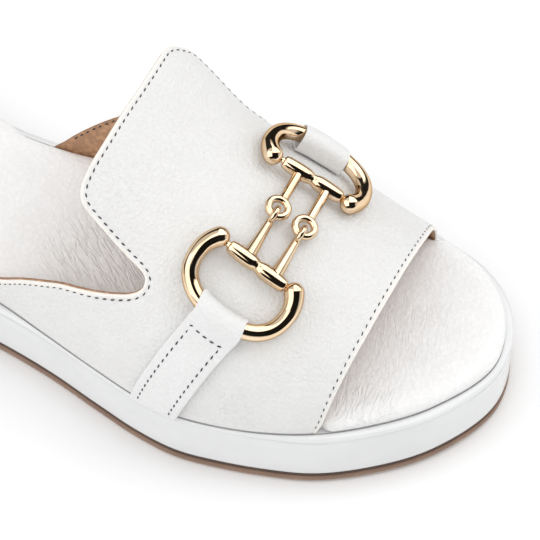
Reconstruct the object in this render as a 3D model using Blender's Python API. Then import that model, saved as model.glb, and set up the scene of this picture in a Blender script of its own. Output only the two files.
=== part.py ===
# A right-foot slip-on sandal: outsole, rand-covered midsole, padded footbed, one-piece upper with a
# tongue and an open toe, two keeper straps and a two-part snaffle ornament.
import math

import bmesh
import bpy
import numpy as np
from mathutils import Vector

# Tables and sizes are in millimetres. x runs from the back of the heel to the toe, y towards the
# big-toe side and z up, so the outer side of this right shoe is -y.
MM = 0.001
SOLE_MIDDLE = (125.35, -2.5)      # x and y that the model's origin stands under
GAP = 0.3                         # clearance left between neighbouring pieces

OUTSOLE_THICKNESS = 3.4
MIDSOLE_THICKNESS = 16.5          # at the forefoot
TOE_SPRING = 1.2
TOE_SPRING_START = 195.0
HEEL_LIFT = 4.0                   # how much thicker the midsole is at the heel
HEEL_LIFT_RUN = (30.0, 120.0)
SEAT = OUTSOLE_THICKNESS + MIDSOLE_THICKNESS + 2 * GAP

BED_EDGE_HEIGHT = 4.6
BED_CROWN = 1.2
HEEL_PAD = 1.5
ARCH_PAD = 0.8

WALL = 1.6                        # leather and lining of the upper
RING_POINTS = 84                  # points round each ring of the sole

STRAP_WIDTH = 13.5
STRAP_THICKNESS = 2.0
STRAP_PLY = 0.5

RING_TUBE = 2.2                   # radius of the metal tube
RING_KNOB = 2.65                  # radius at its two ends
RING_HALF_WIDTH = 14.0
RING_DEPTH = 11.0                 # from the ring's widest place to its outer end
RING_WAIST = 5.4                  # from the bar to the ring's widest place
RING_SHIFT = -0.3                 # of the ring along its bar
RING_FULLNESS = 2.4
RING_SWEEP = 121                  # degrees from the loop's middle to each knob
BAR_HALF_LENGTH = 8.8
BAR_RADIUS = 2.1
SHANK_SPACING = 4.25
SIDES = 10


def table(columns, rows):
    return dict(zip(columns.split(), np.array(rows, float).T))


# The leather's lower edge, where it meets the rand: from the back of the heel round the outer side
# to the toe, and back along the big-toe side. stand is how far the rand lies outside it.
SEAM = table("x y stand", [
    (2.3, -5.0, 2.2), (9.0, -21.5, 2.2), (33.0, -32.0, 2.2), (72.0, -34.2, 2.2),
    (105.0, -34.9, 2.2), (124.0, -36.0, 1.8), (141.0, -39.3, 0.4), (157.0, -42.5, 0.2),
    (171.0, -44.8, 0.2), (182.0, -45.2, 0.2), (194.0, -42.9, 0.2), (205.0, -39.2, 0.7),
    (216.0, -33.8, 1.8), (228.0, -25.0, 2.3), (240.4, -11.8, 2.4), (248.9, 8.5, 1.7),
    (243.6, 23.0, 2.5), (233.0, 32.0, 2.5), (220.0, 35.8, 2.3), (204.0, 38.8, 2.2),
    (186.0, 39.6, 2.2), (160.0, 32.8, 2.2), (132.0, 20.0, 2.2), (104.0, 14.8, 2.2),
    (72.0, 16.5, 2.2), (33.0, 21.5, 2.2), (9.0, 12.5, 2.2)])
TOE_ROW = 15

# Sections of the last. crown and ridge are the height and the y of its top line, outer and inner
# the half widths of the body on each side of the ridge, full the roundness of the shoulders.
LAST = table("x crown ridge outer inner full", [
    (80, 92.0, 4.0, 40.0, 36.0, 2.8),
    (115, 87.0, 5.0, 41.0, 39.0, 2.9),
    (142, 75.5, 6.0, 41.5, 41.0, 3.1),
    (165, 64.5, 2.0, 46.0, 40.0, 2.35),
    (190, 56.8, -2.0, 45.0, 39.0, 2.1),
    (210, 49.5, 0.0, 40.0, 35.0, 2.05),
    (224, 46.0, 1.0, 33.0, 33.5, 2.0),
    (248, 39.0, 1.0, 20.0, 20.0, 2.0)])

# The upper's front edge, from the outer seam (girth 0) over the ridge to the inner seam (girth 1).
FRONT_EDGE = table("girth x", [
    (0.0, 217.3), (0.05, 218.6), (0.13, 219.6), (0.26, 220.9), (0.37, 221.7),
    (0.47, 221.9), (0.59, 221.5), (0.7, 220.7), (0.84, 218.9), (1.0, 217.5)])

# Its back edge: along the outer quarter, round the outer notch, up and over the tongue, down its
# other side to the inner notch and back along the inner quarter.
BACK_EDGE = table("girth x", [
    (0.0, 110.0), (0.01, 118.5), (0.023, 125.2), (0.045, 132.1), (0.06, 136.3), (0.078, 141.0),
    (0.094, 144.6), (0.114, 148.7), (0.144, 153.6), (0.174, 158.0), (0.2, 161.8),
    (0.218, 164.4), (0.234, 166.1), (0.25, 166.9), (0.262, 166.7), (0.27, 165.6),
    (0.274, 163.6), (0.277, 159.0), (0.28, 154.0), (0.283, 149.0), (0.286, 146.8),
    (0.293, 145.3), (0.306, 144.3), (0.325, 143.8), (0.36, 143.7), (0.43, 144.0), (0.5, 143.8),
    (0.55, 143.4), (0.59, 143.0), (0.615, 143.3), (0.635, 144.1), (0.66, 145.2), (0.69, 146.3),
    (0.715, 148.2), (0.733, 151.8), (0.746, 155.2), (0.756, 158.6), (0.763, 162.0),
    (0.77, 165.2), (0.782, 167.0), (0.797, 166.3), (0.82, 162.8), (0.85, 157.6), (0.88, 151.4),
    (0.91, 143.6), (0.935, 135.3), (0.954, 128.4), (0.966, 124.2), (0.976, 120.8),
    (0.986, 117.3), (0.994, 114.4), (1.0, 111.0)])
UPPER_COLUMNS = 15


def follow(tab, key, at, base="x"):
    """Monotone cubic curve through one column of a table."""
    place, value = tab[base], tab[key]
    step = np.diff(place)
    slope = np.diff(value) / step
    before, after = slope[:-1], slope[1:]
    weight_b, weight_a = 2 * step[1:] + step[:-1], step[1:] + 2 * step[:-1]
    same_way = before * after > 0
    safe_b, safe_a = np.where(same_way, before, 1.0), np.where(same_way, after, 1.0)
    inner = (weight_b + weight_a) / (weight_b / safe_b + weight_a / safe_a)
    tangent = np.concatenate([slope[:1], np.where(same_way, inner, 0.0), slope[-1:]])
    at = np.clip(at, place[0], place[-1])
    i = np.clip(np.searchsorted(place, at) - 1, 0, len(step) - 1)
    s = (at - place[i]) / step[i]
    return (value[i] * (1 + 2 * s) * (1 - s) ** 2 + value[i + 1] * s * s * (3 - 2 * s)
            + step[i] * (tangent[i] * s * (1 - s) ** 2 - tangent[i + 1] * s * s * (1 - s)))


def ease(value, start, end):
    """0 at start, 1 at end, smooth between."""
    s = np.clip((value - start) / (end - start), 0.0, 1.0)
    return s * s * (3 - 2 * s)


def toe_spring(x):
    run = SOLE_MIDDLE[0] * 2 - TOE_SPRING_START
    return TOE_SPRING * np.clip((x - TOE_SPRING_START) / run, 0.0, 1.1) ** 2


def seat(x):
    """Height of the midsole's top, where the leather starts."""
    return SEAT + HEEL_LIFT * ease(x, HEEL_LIFT_RUN[1], HEEL_LIFT_RUN[0]) + toe_spring(x)


def closed_curve(points, steps):
    """Dense smooth loop through points, with steps samples for each of their spans."""
    ahead = np.roll(points, -1, axis=0)
    chord = np.linalg.norm((ahead - points)[:, :2], axis=1)[:, None]
    direction = (ahead - points) / chord
    chord_before, direction_before = np.roll(chord, 1, axis=0), np.roll(direction, 1, axis=0)
    tangent = (direction_before * chord + direction * chord_before) / (chord + chord_before)
    s = (np.arange(steps) / steps)[None, :, None]
    p, q = points[:, None], ahead[:, None]
    t, u = tangent[:, None], np.roll(tangent, -1, axis=0)[:, None]
    loop = (p * (1 + 2 * s) * (1 - s) ** 2 + q * s * s * (3 - 2 * s)
            + chord[:, None] * (t * s * (1 - s) ** 2 - u * s * s * (1 - s)))
    return loop.reshape(-1, points.shape[1])


def evenly(path, count):
    """count + 1 points at equal distances along an open path."""
    strides = np.linalg.norm(np.diff(path[:, :2], axis=0), axis=1)
    walked = np.concatenate([[0], np.cumsum(strides)])
    marks = np.linspace(0, walked[-1], count + 1)
    return np.stack([np.interp(marks, walked, column) for column in path.T], axis=1)


SPAN_STEPS = 24
SEAM_LOOP = closed_curve(np.stack(list(SEAM.values()), axis=1), SPAN_STEPS)
OUTER_HALF = SEAM_LOOP[:TOE_ROW * SPAN_STEPS + 1]
INNER_HALF = np.vstack([SEAM_LOOP[TOE_ROW * SPAN_STEPS:], SEAM_LOOP[:1]])[::-1]


def seam_y(x, inner_side):
    half = INNER_HALF if inner_side else OUTER_HALF
    return np.interp(x, half[:, 0], half[:, 1])


def sole_ring(offset, rand_share=0.0):
    """Points round the sole, heel back first and outer side next.

    They are moved out of the leather's edge by offset and a share of the rand's stand."""
    half = RING_POINTS // 2
    ring = np.vstack([evenly(OUTER_HALF, half), evenly(INNER_HALF, half)[-2:0:-1]])
    along = (np.roll(ring, -1, axis=0) - np.roll(ring, 1, axis=0))[:, :2]
    along /= np.linalg.norm(along, axis=1)[:, None]
    out = np.stack([along[:, 1], -along[:, 0]], axis=1)
    return ring[:, :2] + out * (offset + rand_share * ring[:, 2])[:, None]


def last_point(x, girth):
    """A point of the upper's outside, girth 0 at the outer seam and 1 at the inner seam."""
    crown, ridge = follow(LAST, "crown", x), follow(LAST, "ridge", x)
    full = follow(LAST, "full", x)
    across, up = np.cos(math.pi * girth), np.abs(np.sin(math.pi * girth))
    outer = across > 0
    body = np.where(outer, follow(LAST, "outer", x), follow(LAST, "inner", x))
    foot = np.where(outer, ridge - seam_y(x, False), seam_y(x, True) - ridge)
    half = body * np.abs(across) ** (2 / full) - (body - foot) * (1 - up)
    y = ridge - np.sign(across) * half
    z = seat(x) + (crown + toe_spring(x) - seat(x)) * up ** (2 / full)
    return np.stack(np.broadcast_arrays(x, y, z), axis=-1)


def last_normal(x, girth):
    """Outward normal of the upper's outside."""
    dx, dg = 0.5, 0.004
    ahead = last_point(x + dx, girth) - last_point(x - dx, girth)
    low, high = np.clip(girth - dg, 0.001, 0.999), np.clip(girth + dg, 0.001, 0.999)
    over = last_point(x, high) - last_point(x, low)
    normal = np.cross(ahead, over)
    return normal / np.linalg.norm(normal, axis=-1, keepdims=True)


def material(name, colour, roughness, metallic=0.0):
    surface = bpy.data.materials.new(name)
    surface.use_nodes = True
    shader = surface.node_tree.nodes["Principled BSDF"]
    shader.inputs["Base Color"].default_value = (*colour, 1.0)
    shader.inputs["Roughness"].default_value = roughness
    shader.inputs["Metallic"].default_value = metallic
    return surface


def add_object(name, bm, surface, smooth_angle=40):
    """One object from a bmesh in millimetres, moved to the model's frame."""
    bmesh.ops.translate(bm, verts=bm.verts, vec=(-SOLE_MIDDLE[0], -SOLE_MIDDLE[1], 0))
    bmesh.ops.scale(bm, verts=bm.verts, vec=(MM, MM, MM))
    bmesh.ops.triangulate(bm, faces=bm.faces)
    mesh = bpy.data.meshes.new(name)
    bm.to_mesh(mesh)
    bm.free()
    mesh.materials.append(surface)
    mesh.shade_smooth()
    mesh.set_sharp_from_angle(angle=math.radians(smooth_angle))
    made = bpy.data.objects.new(name, mesh)
    bpy.context.collection.objects.link(made)
    return made


def add_grid(bm, points, close_rows=False, flip=False):
    """Quads over a rows by columns array of points; returns the vertices in the same layout."""
    verts = [[bm.verts.new(p) for p in row] for row in points]
    rows, columns = len(verts), len(verts[0])
    for i in range(rows - 1):
        for j in range(columns if close_rows else columns - 1):
            k = (j + 1) % columns
            quad = [verts[i][j], verts[i][k], verts[i + 1][k], verts[i + 1][j]]
            bm.faces.new(quad[::-1] if flip else quad)
    return verts


def close_sole_ring(bm, ring, flip):
    """Flat face strips between a sole ring's outer and inner halves."""
    for i in range(RING_POINTS // 2):
        corners = [ring[i], ring[i + 1], ring[(-i - 1) % RING_POINTS], ring[-i % RING_POINTS]]
        face = list(dict.fromkeys(corners))
        bm.faces.new(face[::-1] if flip else face)


def sole_layer(name, levels, surface):
    """A closed solid from rings, lowest first; each level is an N by 3 array."""
    bm = bmesh.new()
    rings = add_grid(bm, levels, close_rows=True)
    close_sole_ring(bm, rings[0], flip=True)
    close_sole_ring(bm, rings[-1], flip=False)
    return add_object(name, bm, surface)


def level(out, height, rand_share=1.0):
    """A ring outside the rand's face, at a height over the sprung floor."""
    ring = sole_ring(out, rand_share)
    return np.column_stack([ring, height + toe_spring(ring[:, 0])])


def make_outsole(surface):
    chamfer = 0.6
    sole_layer("outsole", [
        level(-chamfer, 0.0), level(0.1, chamfer), level(0.1, OUTSOLE_THICKNESS)], surface)


def make_midsole(surface):
    bead_height, bead_width = 2.0, 0.9        # the width is a share of the rand's stand
    floor = OUTSOLE_THICKNESS + GAP
    levels = [level(-0.5, floor), level(0.0, floor + 0.8)]
    for turn in map(math.radians, (0, 30, 60, 90)):
        back = 1 - math.cos(turn)
        ring = sole_ring(-0.3 * back, 1 - bead_width * back)
        height = seat(ring[:, 0]) - GAP - bead_height * (1 - math.sin(turn))
        levels.append(np.column_stack([ring, height]))
    sole_layer("midsole", levels, surface)


def bed_inset(x):
    """How far the footbed's edge stays back to let the upper's wall pass."""
    return (WALL + 2 * GAP) * ease(x, 96, 105) * ease(x, 229, 221.5)


def bed_top(x, y, inward):
    """Height of the footbed's surface; inward is 0 at its rim and 1 at its middle line."""
    arch = np.exp(-((x - 95) / 32) ** 2 - ((y - 18) / 16) ** 2)
    crown = BED_CROWN * (1 - (1 - inward) ** 2)
    heel = HEEL_PAD * ease(x, 130, 60)
    return seat(x) + BED_EDGE_HEIGHT + crown + heel + ARCH_PAD * arch


def make_footbed(surface):
    spine_ends = (28.0, 220.0)
    plain = sole_ring(0.0)
    inset = bed_inset(plain[:, 0])
    shoulder = table("up back", [(0.0, 0.0), (0.32, -0.15), (0.62, 0.25), (0.86, 1.5), (1.0, 3.6)])
    levels = []
    for up, back in zip(shoulder["up"], shoulder["back"]):
        ring = sole_ring(-inset - back)
        x, y = ring.T
        levels.append(np.column_stack([ring, seat(x) + up * (bed_top(x, y, 0.0) - seat(x))]))
    rim = levels[-1][:, :2]
    half = RING_POINTS // 2
    share = np.abs((np.arange(RING_POINTS) + half) % RING_POINTS - half) / half
    spine_x = spine_ends[0] + (spine_ends[1] - spine_ends[0]) * share
    spine_y = (seam_y(spine_x, False) + seam_y(spine_x, True)) / 2
    for inward in (0.12, 0.3, 0.55, 0.85):
        ring = rim * (1 - inward) + np.column_stack([spine_x, spine_y]) * inward
        levels.append(np.column_stack([ring, bed_top(*ring.T, inward)]))
    sole_layer("footbed", levels, surface)


def upper_rows():
    """Girth and the x of the back and front edges for each row of the upper, outer side first."""
    longest = 5.5
    girth = [0.0]
    for low, high in zip(BACK_EDGE["girth"][:-1], BACK_EDGE["girth"][1:]):
        ends = np.array([low, high])
        corner = last_point(follow(BACK_EDGE, "x", ends, "girth"), ends)
        pieces = max(1, math.ceil(np.linalg.norm(corner[1] - corner[0]) / longest))
        girth += list(np.linspace(low, high, pieces + 1)[1:])
    girth = np.array(girth)
    return girth, follow(BACK_EDGE, "x", girth, "girth"), follow(FRONT_EDGE, "x", girth, "girth")


def make_upper(surface):
    girth, back, front = upper_rows()
    share = np.linspace(0, 1, UPPER_COLUMNS)
    x = back[:, None] + (front - back)[:, None] * share
    girth = np.broadcast_to(girth[:, None], x.shape)
    outside = last_point(x, girth)
    normal = last_normal(x, girth)
    for row in (0, -1):           # the lower edges are cut level, to stand on the midsole
        normal[row, :, 2] = 0
        normal[row] /= np.linalg.norm(normal[row], axis=-1, keepdims=True)
    inside = outside - WALL * normal
    inside[..., 2] = np.maximum(inside[..., 2], seat(inside[..., 0]))
    bm = bmesh.new()
    skin = add_grid(bm, outside)
    lining = add_grid(bm, inside, flip=True)
    rim = lambda g: g[0][:-1] + [r[-1] for r in g[:-1]] + g[-1][:0:-1] + [r[0] for r in g[:0:-1]]
    outer_rim, inner_rim = rim(skin), rim(lining)
    for i in range(len(outer_rim)):
        k = (i + 1) % len(outer_rim)
        bm.faces.new([outer_rim[k], outer_rim[i], inner_rim[i], inner_rim[k]])
    bmesh.ops.recalc_face_normals(bm, faces=bm.faces)
    return add_object("upper", bm, surface)


# Where each half of the ornament lies: the middle of its bar, the way the bar points, the way the
# ring faces, and how far the shanks' roots are moved along the bar. foot and loop are the x of the
# strap's lower end and of its fold round the ring. waist is the share of its width that the strap
# keeps at the fold, and turn_in is how far the fold slides along the ring.
# The outer half's shanks taper to small upright eyes, the inner half's are straight and end in
# round eyes that lie flat.
HALVES = {
    "outer": dict(side=-1, bar=(191.3, -16.6, 57.8), along=(0.927, -0.045, -0.373),
                  facing=(0.33, -0.332, 0.884), shanks=1.0, waist=0.94, foot=176.2, loop=188.0,
                  turn_in=-1.5),
    "inner": dict(side=1, bar=(190.9, 14.4, 57.5), along=(0.93, 0.05, -0.36),
                  facing=(0.322, 0.418, 0.85), shanks=0.4, waist=1.0, foot=174.0, loop=185.6,
                  turn_in=0.9)}
OUTER_SHANK = 13.9                # from the bar to the middle of the small eye
SMALL_EYE = dict(long=2.1, wide=2.25, wire=0.8)
ROUND_EYE = dict(long=2.6, wide=2.6, wire=1.0)
EYE_PLAY = 0.1                    # how far the round eye's wire sits past the small eye's middle
LOOP_INNER = RING_TUBE + 0.28
LOOP_OUTER = LOOP_INNER + STRAP_PLY
LOOP_SIDES = 16
LINK_HEIGHT = 3.8                 # of the eyes over the ridge
LINK_SHIFT = 0.7                  # of the eyes along the bar, out of the line of the roots


def side_girth(side, girth):
    return girth if side < 0 else 1 - girth


def surface_place(x, girth, height):
    return last_point(x, girth) + height * last_normal(x, girth)


def ring_frame(half):
    """Middle of the bar and the ring's axes: along its bar, from its loop to its bar, outward."""
    facing = Vector(half["facing"]).normalized()
    along = Vector(half["along"])
    along = (along - facing * along.dot(facing)).normalized()
    inward = facing.cross(along) * -half["side"]
    return Vector(half["bar"]), along, inward, facing


def ring_curve(turn):
    """The ring's middle line, from one knob (-1) over its far end (0) to the other (1)."""
    angle = math.radians(RING_SWEEP) * turn
    power = 2 / RING_FULLNESS
    along = math.copysign(abs(math.sin(angle)) ** power, angle) * RING_HALF_WIDTH
    depth = math.copysign(abs(math.cos(angle)) ** power, math.cos(angle)) * RING_DEPTH
    if math.cos(angle) < 0:       # the last stretch turns in to the bar
        along = math.copysign(RING_HALF_WIDTH * math.sin(abs(angle)) ** 1.1, angle)
        depth = RING_DEPTH * math.cos(angle)
    return along + RING_SHIFT, -RING_WAIST - depth


def tube(bm, centres, radii, sides=SIDES):
    """Closed round bar along a path, with a round section that keeps its turn."""
    centres = [Vector(c) for c in centres]
    reference = Vector((0.013, 0.021, 1.0)).normalized()
    rows = []
    for i, centre in enumerate(centres):
        ahead = centres[min(i + 1, len(centres) - 1)] - centres[max(i - 1, 0)]
        first = ahead.cross(reference)
        if first.length < 0.3 * ahead.length:
            first = ahead.cross(Vector((1.0, 0.013, 0.021)))
        first.normalize()
        second = ahead.cross(first).normalized()
        radius = float(radii[i])
        rows.append([centre + radius * (math.cos(a) * first + math.sin(a) * second)
                     for a in (2 * math.pi * k / sides for k in range(sides))])
    verts = add_grid(bm, rows, close_rows=True)
    bm.faces.new(verts[0])
    bm.faces.new(verts[-1][::-1])


def loop_tube(bm, centres, across, radius, sides=8):
    """Closed ring along a closed path; across is the normal of its plane."""
    centres, across = [Vector(c) for c in centres], Vector(across).normalized()
    count = len(centres)
    rows = []
    for i in range(count + 1):
        centre = centres[i % count]
        out = (centres[(i + 1) % count] - centres[i - 1 if i else -1]).cross(across)
        if i == count:
            rows.append(rows[0])
            continue
        out.normalize()
        rows.append([centre + radius * (math.cos(a) * out + math.sin(a) * across)
                     for a in (2 * math.pi * k / sides for k in range(sides))])
    verts = [[bm.verts.new(p) for p in row] for row in rows[:-1]]
    for i in range(count):
        for j in range(sides):
            a, b = verts[i], verts[(i + 1) % count]
            k = (j + 1) % sides
            bm.faces.new([a[j], a[k], b[k], b[j]])


def solid_from(build, name):
    """An object, still in millimetres, from a function that fills a bmesh with one closed solid."""
    bm = bmesh.new()
    build(bm)
    bmesh.ops.recalc_face_normals(bm, faces=bm.faces)
    bmesh.ops.triangulate(bm, faces=bm.faces)
    mesh = bpy.data.meshes.new(name)
    bm.to_mesh(mesh)
    bm.free()
    made = bpy.data.objects.new(name, mesh)
    bpy.context.collection.objects.link(made)
    return made


def union(name, solids, surface):
    """Fuses closed solids into one casting and places it in the model's frame."""
    base = solids[0]
    for other in solids[1:]:
        join = base.modifiers.new("join", "BOOLEAN")
        join.operation = "UNION"
        join.solver = "EXACT"
        join.object = other
    seen = base.evaluated_get(bpy.context.evaluated_depsgraph_get())
    bm = bmesh.new()
    bm.from_mesh(seen.to_mesh())
    seen.to_mesh_clear()
    for solid in solids:
        bpy.data.objects.remove(solid, do_unlink=True)
    bmesh.ops.dissolve_degenerate(bm, dist=0.01, edges=bm.edges)
    return add_object(name, bm, surface, smooth_angle=45)


def bar_profile():
    """Stations along the bar: two full lobes, a notch between them and a thin neck at each end."""
    lobe = table("along radius", [
        (0.0, 1.6), (0.6, 1.75), (1.6, 2.0), (3.5, BAR_RADIUS), (6.0, 2.05), (7.8, 1.85),
        (BAR_HALF_LENGTH, 1.5), (BAR_HALF_LENGTH + 0.25, 0.9), (BAR_HALF_LENGTH + 2.2, 0.9)])
    along = np.concatenate([-lobe["along"][:0:-1], lobe["along"]])
    radius = np.concatenate([lobe["radius"][:0:-1], lobe["radius"]])
    return along, radius


def eye_path(middle, first, second, half_long, half_wide, count):
    """Closed oval in the plane of two axes, with half_long along the first."""
    return [middle + first * half_long * math.cos(a) + second * half_wide * math.sin(a)
            for a in (2 * math.pi * k / count for k in range(count))]


def link_points(end):
    """Root of an outer shank, the middle of its eye, and the level way towards the inner half."""
    bar, along, _, _ = ring_frame(HALVES["outer"])
    far_bar, far_along, _, _ = ring_frame(HALVES["inner"])
    root = bar + along * (end * SHANK_SPACING + HALVES["outer"]["shanks"])
    far_root = far_bar + far_along * (end * SHANK_SPACING + HALVES["inner"]["shanks"])
    span = far_root - root
    share = OUTER_SHANK / span.length
    level = root.lerp(far_root, share)
    ridge = surface_place(level.x, 0.5, LINK_HEIGHT)
    small = Vector((level.x, level.y, float(ridge[2]))) + along * LINK_SHIFT
    return root, small, span.normalized()


def make_ornament(key, surface):
    half = HALVES[key]
    side = half["side"]
    bar, along, inward, up = ring_frame(half)
    solids = []

    def ring(bm):
        turns = np.linspace(-1, 1, 33)
        centres = [bar + along * a + inward * b for a, b in map(ring_curve, turns)]
        radii = [RING_TUBE + (RING_KNOB - RING_TUBE) * abs(t) ** 6 for t in turns]
        for _ in range(2):        # a rounded knob on each end in turn
            ahead, radius = (centres[-1] - centres[-2]).normalized(), radii[-1]
            last = centres[-1]
            for turn in map(math.radians, (30, 58, 80)):
                centres.append(last + ahead * radius * math.sin(turn))
                radii.append(radius * math.cos(turn))
            centres.reverse()
            radii.reverse()
        tube(bm, centres, radii)

    def crossbar(bm):
        stations, radii = bar_profile()
        tube(bm, [bar + along * a for a in stations], list(radii))

    solids.append(solid_from(ring, "ring"))
    solids.append(solid_from(crossbar, "bar"))

    for end in (-1, 1):
        root, small, away = link_points(end)
        if side < 0:
            eye, widths, middle, flat = SMALL_EYE, (1.75, 1.05), small, away.cross(along).normalized()
        else:
            root = bar + along * (end * SHANK_SPACING + half["shanks"])
            eye, widths, middle, flat = ROUND_EYE, (1.3, 1.15), small + away * (
                ROUND_EYE["long"] + EYE_PLAY), along
        way = (middle - root).normalized()
        tip = middle - way * eye["long"]

        def shank(bm, root=root, tip=tip, widths=widths):
            tube(bm, [root, (root + tip) / 2, tip], [widths[0], sum(widths) / 2, widths[1]], sides=10)

        def eyelet(bm, middle=middle, away=away, flat=flat, eye=eye):
            path = eye_path(middle, away, flat, eye["long"], eye["wide"], 16)
            loop_tube(bm, path, away.cross(flat), eye["wire"])

        solids.append(solid_from(shank, "shank"))
        solids.append(solid_from(eyelet, "eye"))
    union(f"{key}_bit", solids, surface)


def strap_mapper(half):
    """Function from (along the strap, across it, height) to a point over the upper."""
    side, foot = half["side"], half["foot"]
    top_girth, fold_girth = 0.36, 0.277
    girths = np.linspace(0, top_girth, 120)
    lean = (half["loop"] - foot) / fold_girth
    middle = last_point(foot + lean * girths, side_girth(side, girths))
    walked = np.concatenate([[0], np.cumsum(np.linalg.norm(np.diff(middle, axis=0), axis=1))])

    def place(u, w, h):
        girth = np.interp(u, walked, girths)
        x = foot + lean * girth + w
        return surface_place(x, side_girth(side, girth), h)
    return place


def strap_coordinates(place, point, guess):
    """Newton's search for the (u, w, h) that place() puts at a point."""
    guess = np.array(guess, float)
    for _ in range(12):
        here = place(*guess)
        steps = np.stack([(place(*(guess + d)) - here) / 0.01 for d in np.eye(3) * 0.01], axis=1)
        guess = guess + np.linalg.solve(steps, point - here)
    return guess


def strap_profile(loop_u, loop_h, stretch):
    """Outline and hole of the strap in its own plane, from its lower end to the loop and back.

    stretch widens the loop where the tube crosses the strap at a slant."""
    low = GAP
    outline = [(u, low) for u in np.linspace(0, loop_u - 2.5, 9)]
    outline.append((loop_u, max(loop_h - LOOP_OUTER, low)))
    for turn in range(-69, 121, 21):
        a = math.radians(turn)
        outline.append((loop_u + stretch * LOOP_OUTER * math.cos(a),
                        loop_h + LOOP_OUTER * math.sin(a)))
    outline.append((loop_u - 4.6 * stretch, loop_h + 0.9))
    outline += [(u, low + STRAP_THICKNESS * (0.55 + 0.45 * float(ease(u, 0, 10))))
                for u in np.linspace(loop_u - 8.0, 0, 7)]
    hole = [(loop_u + stretch * LOOP_INNER * math.cos(a), loop_h + LOOP_INNER * math.sin(a))
            for a in (2 * math.pi * k / LOOP_SIDES for k in range(LOOP_SIDES))]
    return outline, hole


def strap_across(w, u, fold_u, half):
    """Place across the strap, which narrows at its fold and turns square to the ring there."""
    waist = 1 - (1 - half["waist"]) * float(ease(u, fold_u - 5, fold_u - 0.5))
    return w * waist + half["turn_in"] * float(ease(u, fold_u - LOOP_OUTER, fold_u + LOOP_OUTER))


def make_strap(key, surface):
    half = HALVES[key]
    place = strap_mapper(half)
    bar, along, inward, _ = ring_frame(half)
    samples = []
    for turn in np.linspace(-0.62, 0.62, 13):
        a, b = ring_curve(turn)
        point = np.array(bar + along * a + inward * b)
        samples.append(strap_coordinates(place, point, (34.0, a, LOOP_OUTER + GAP)))
    samples = np.array(samples)
    across = np.linspace(-STRAP_WIDTH / 2, STRAP_WIDTH / 2, 7)
    on_ring = across * half["waist"] + half["turn_in"] / 2
    loop_u = np.interp(on_ring, samples[:, 1], samples[:, 0])
    loop_h = np.interp(on_ring, samples[:, 1], samples[:, 2])
    stretch = 1.03 * np.sqrt(1 + np.gradient(loop_u, across) ** 2)
    bm = bmesh.new()
    outlines, holes = [], []
    for w, u, h, wider in zip(across, loop_u, loop_h, stretch):
        outline, hole = strap_profile(u, h, wider)
        for points, kept in ((outline, outlines), (hole, holes)):
            spots = np.array([place(pu, strap_across(w, pu, u, half), ph)
                              for pu, ph in points])
            spots[:, 2] = np.maximum(spots[:, 2], seat(spots[:, 0]))
            kept.append(spots)
    outline_verts = add_grid(bm, outlines, close_rows=True)
    hole_verts = add_grid(bm, holes, close_rows=True, flip=True)
    for column in (0, -1):
        edges = []
        for verts in (outline_verts[column], hole_verts[column]):
            edges += [bm.edges.get((verts[i], verts[i - 1])) for i in range(len(verts))]
        bmesh.ops.triangle_fill(bm, use_beauty=True, edges=edges)
    bmesh.ops.recalc_face_normals(bm, faces=bm.faces)
    add_object(f"{key}_strap", bm, surface)


for old in list(bpy.data.objects):
    bpy.data.objects.remove(old, do_unlink=True)

white_leather = material("white leather", (0.82, 0.81, 0.79), 0.5)
bed_leather = material("footbed leather", (0.80, 0.79, 0.77), 0.55)
white_rand = material("white rand", (0.86, 0.87, 0.88), 0.25)
brown_sole = material("brown sole", (0.25, 0.13, 0.08), 0.6)
pale_gold = material("pale gold", (0.86, 0.68, 0.42), 0.12, metallic=1.0)

make_outsole(brown_sole)
make_midsole(white_rand)
make_footbed(bed_leather)
make_upper(white_leather)
for part in HALVES:
    make_strap(part, white_leather)
    make_ornament(part, pale_gold)
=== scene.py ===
# A right slip-on sandal in soft white leather: open toe, tongued vamp, and a gold snaffle-bit
# ornament held by two leather keepers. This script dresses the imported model.
import math

import bmesh
import bpy
import numpy as np
from mathutils import Matrix, Vector
from mathutils.geometry import delaunay_2d_cdt
from mathutils.kdtree import KDTree


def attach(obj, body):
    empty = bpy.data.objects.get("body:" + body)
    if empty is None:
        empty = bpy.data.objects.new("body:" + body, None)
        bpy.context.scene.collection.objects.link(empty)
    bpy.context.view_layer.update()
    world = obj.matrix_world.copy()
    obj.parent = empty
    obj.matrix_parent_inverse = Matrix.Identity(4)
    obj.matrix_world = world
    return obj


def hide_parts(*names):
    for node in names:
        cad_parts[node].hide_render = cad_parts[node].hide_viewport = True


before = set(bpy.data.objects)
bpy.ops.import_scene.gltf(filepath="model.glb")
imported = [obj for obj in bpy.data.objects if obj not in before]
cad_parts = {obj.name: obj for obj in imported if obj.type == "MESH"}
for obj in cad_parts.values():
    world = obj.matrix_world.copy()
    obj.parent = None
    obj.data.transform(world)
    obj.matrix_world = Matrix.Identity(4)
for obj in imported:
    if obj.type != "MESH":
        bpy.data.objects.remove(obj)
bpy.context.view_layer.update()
bpy.ops.object.select_all(action="DESELECT")
print("frame loaded:", len(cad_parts), "parts")

# camera
camera = dict(target=(0.05689, 0.00978, 0.020), azimuth=28, elevation=55, distance=0.9,
              lens=225, sensor=36)


def addCamera():
    turn, rise = math.radians(camera["azimuth"]), math.radians(camera["elevation"])
    back = Vector((math.sin(turn) * math.cos(rise), -math.cos(turn) * math.cos(rise),
                   math.sin(rise)))
    bpy.ops.object.camera_add(location=Vector(camera["target"]) + back * camera["distance"])
    seer = bpy.context.object
    seer.name = "studioCamera"
    seer.rotation_euler = (-back).to_track_quat("-Z", "Y").to_euler()
    seer.data.lens, seer.data.sensor_width = camera["lens"], camera["sensor"]
    seer.data.clip_start, seer.data.clip_end = 0.05, 20
    bpy.context.scene.camera = seer


addCamera()
print("camera placed")

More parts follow.
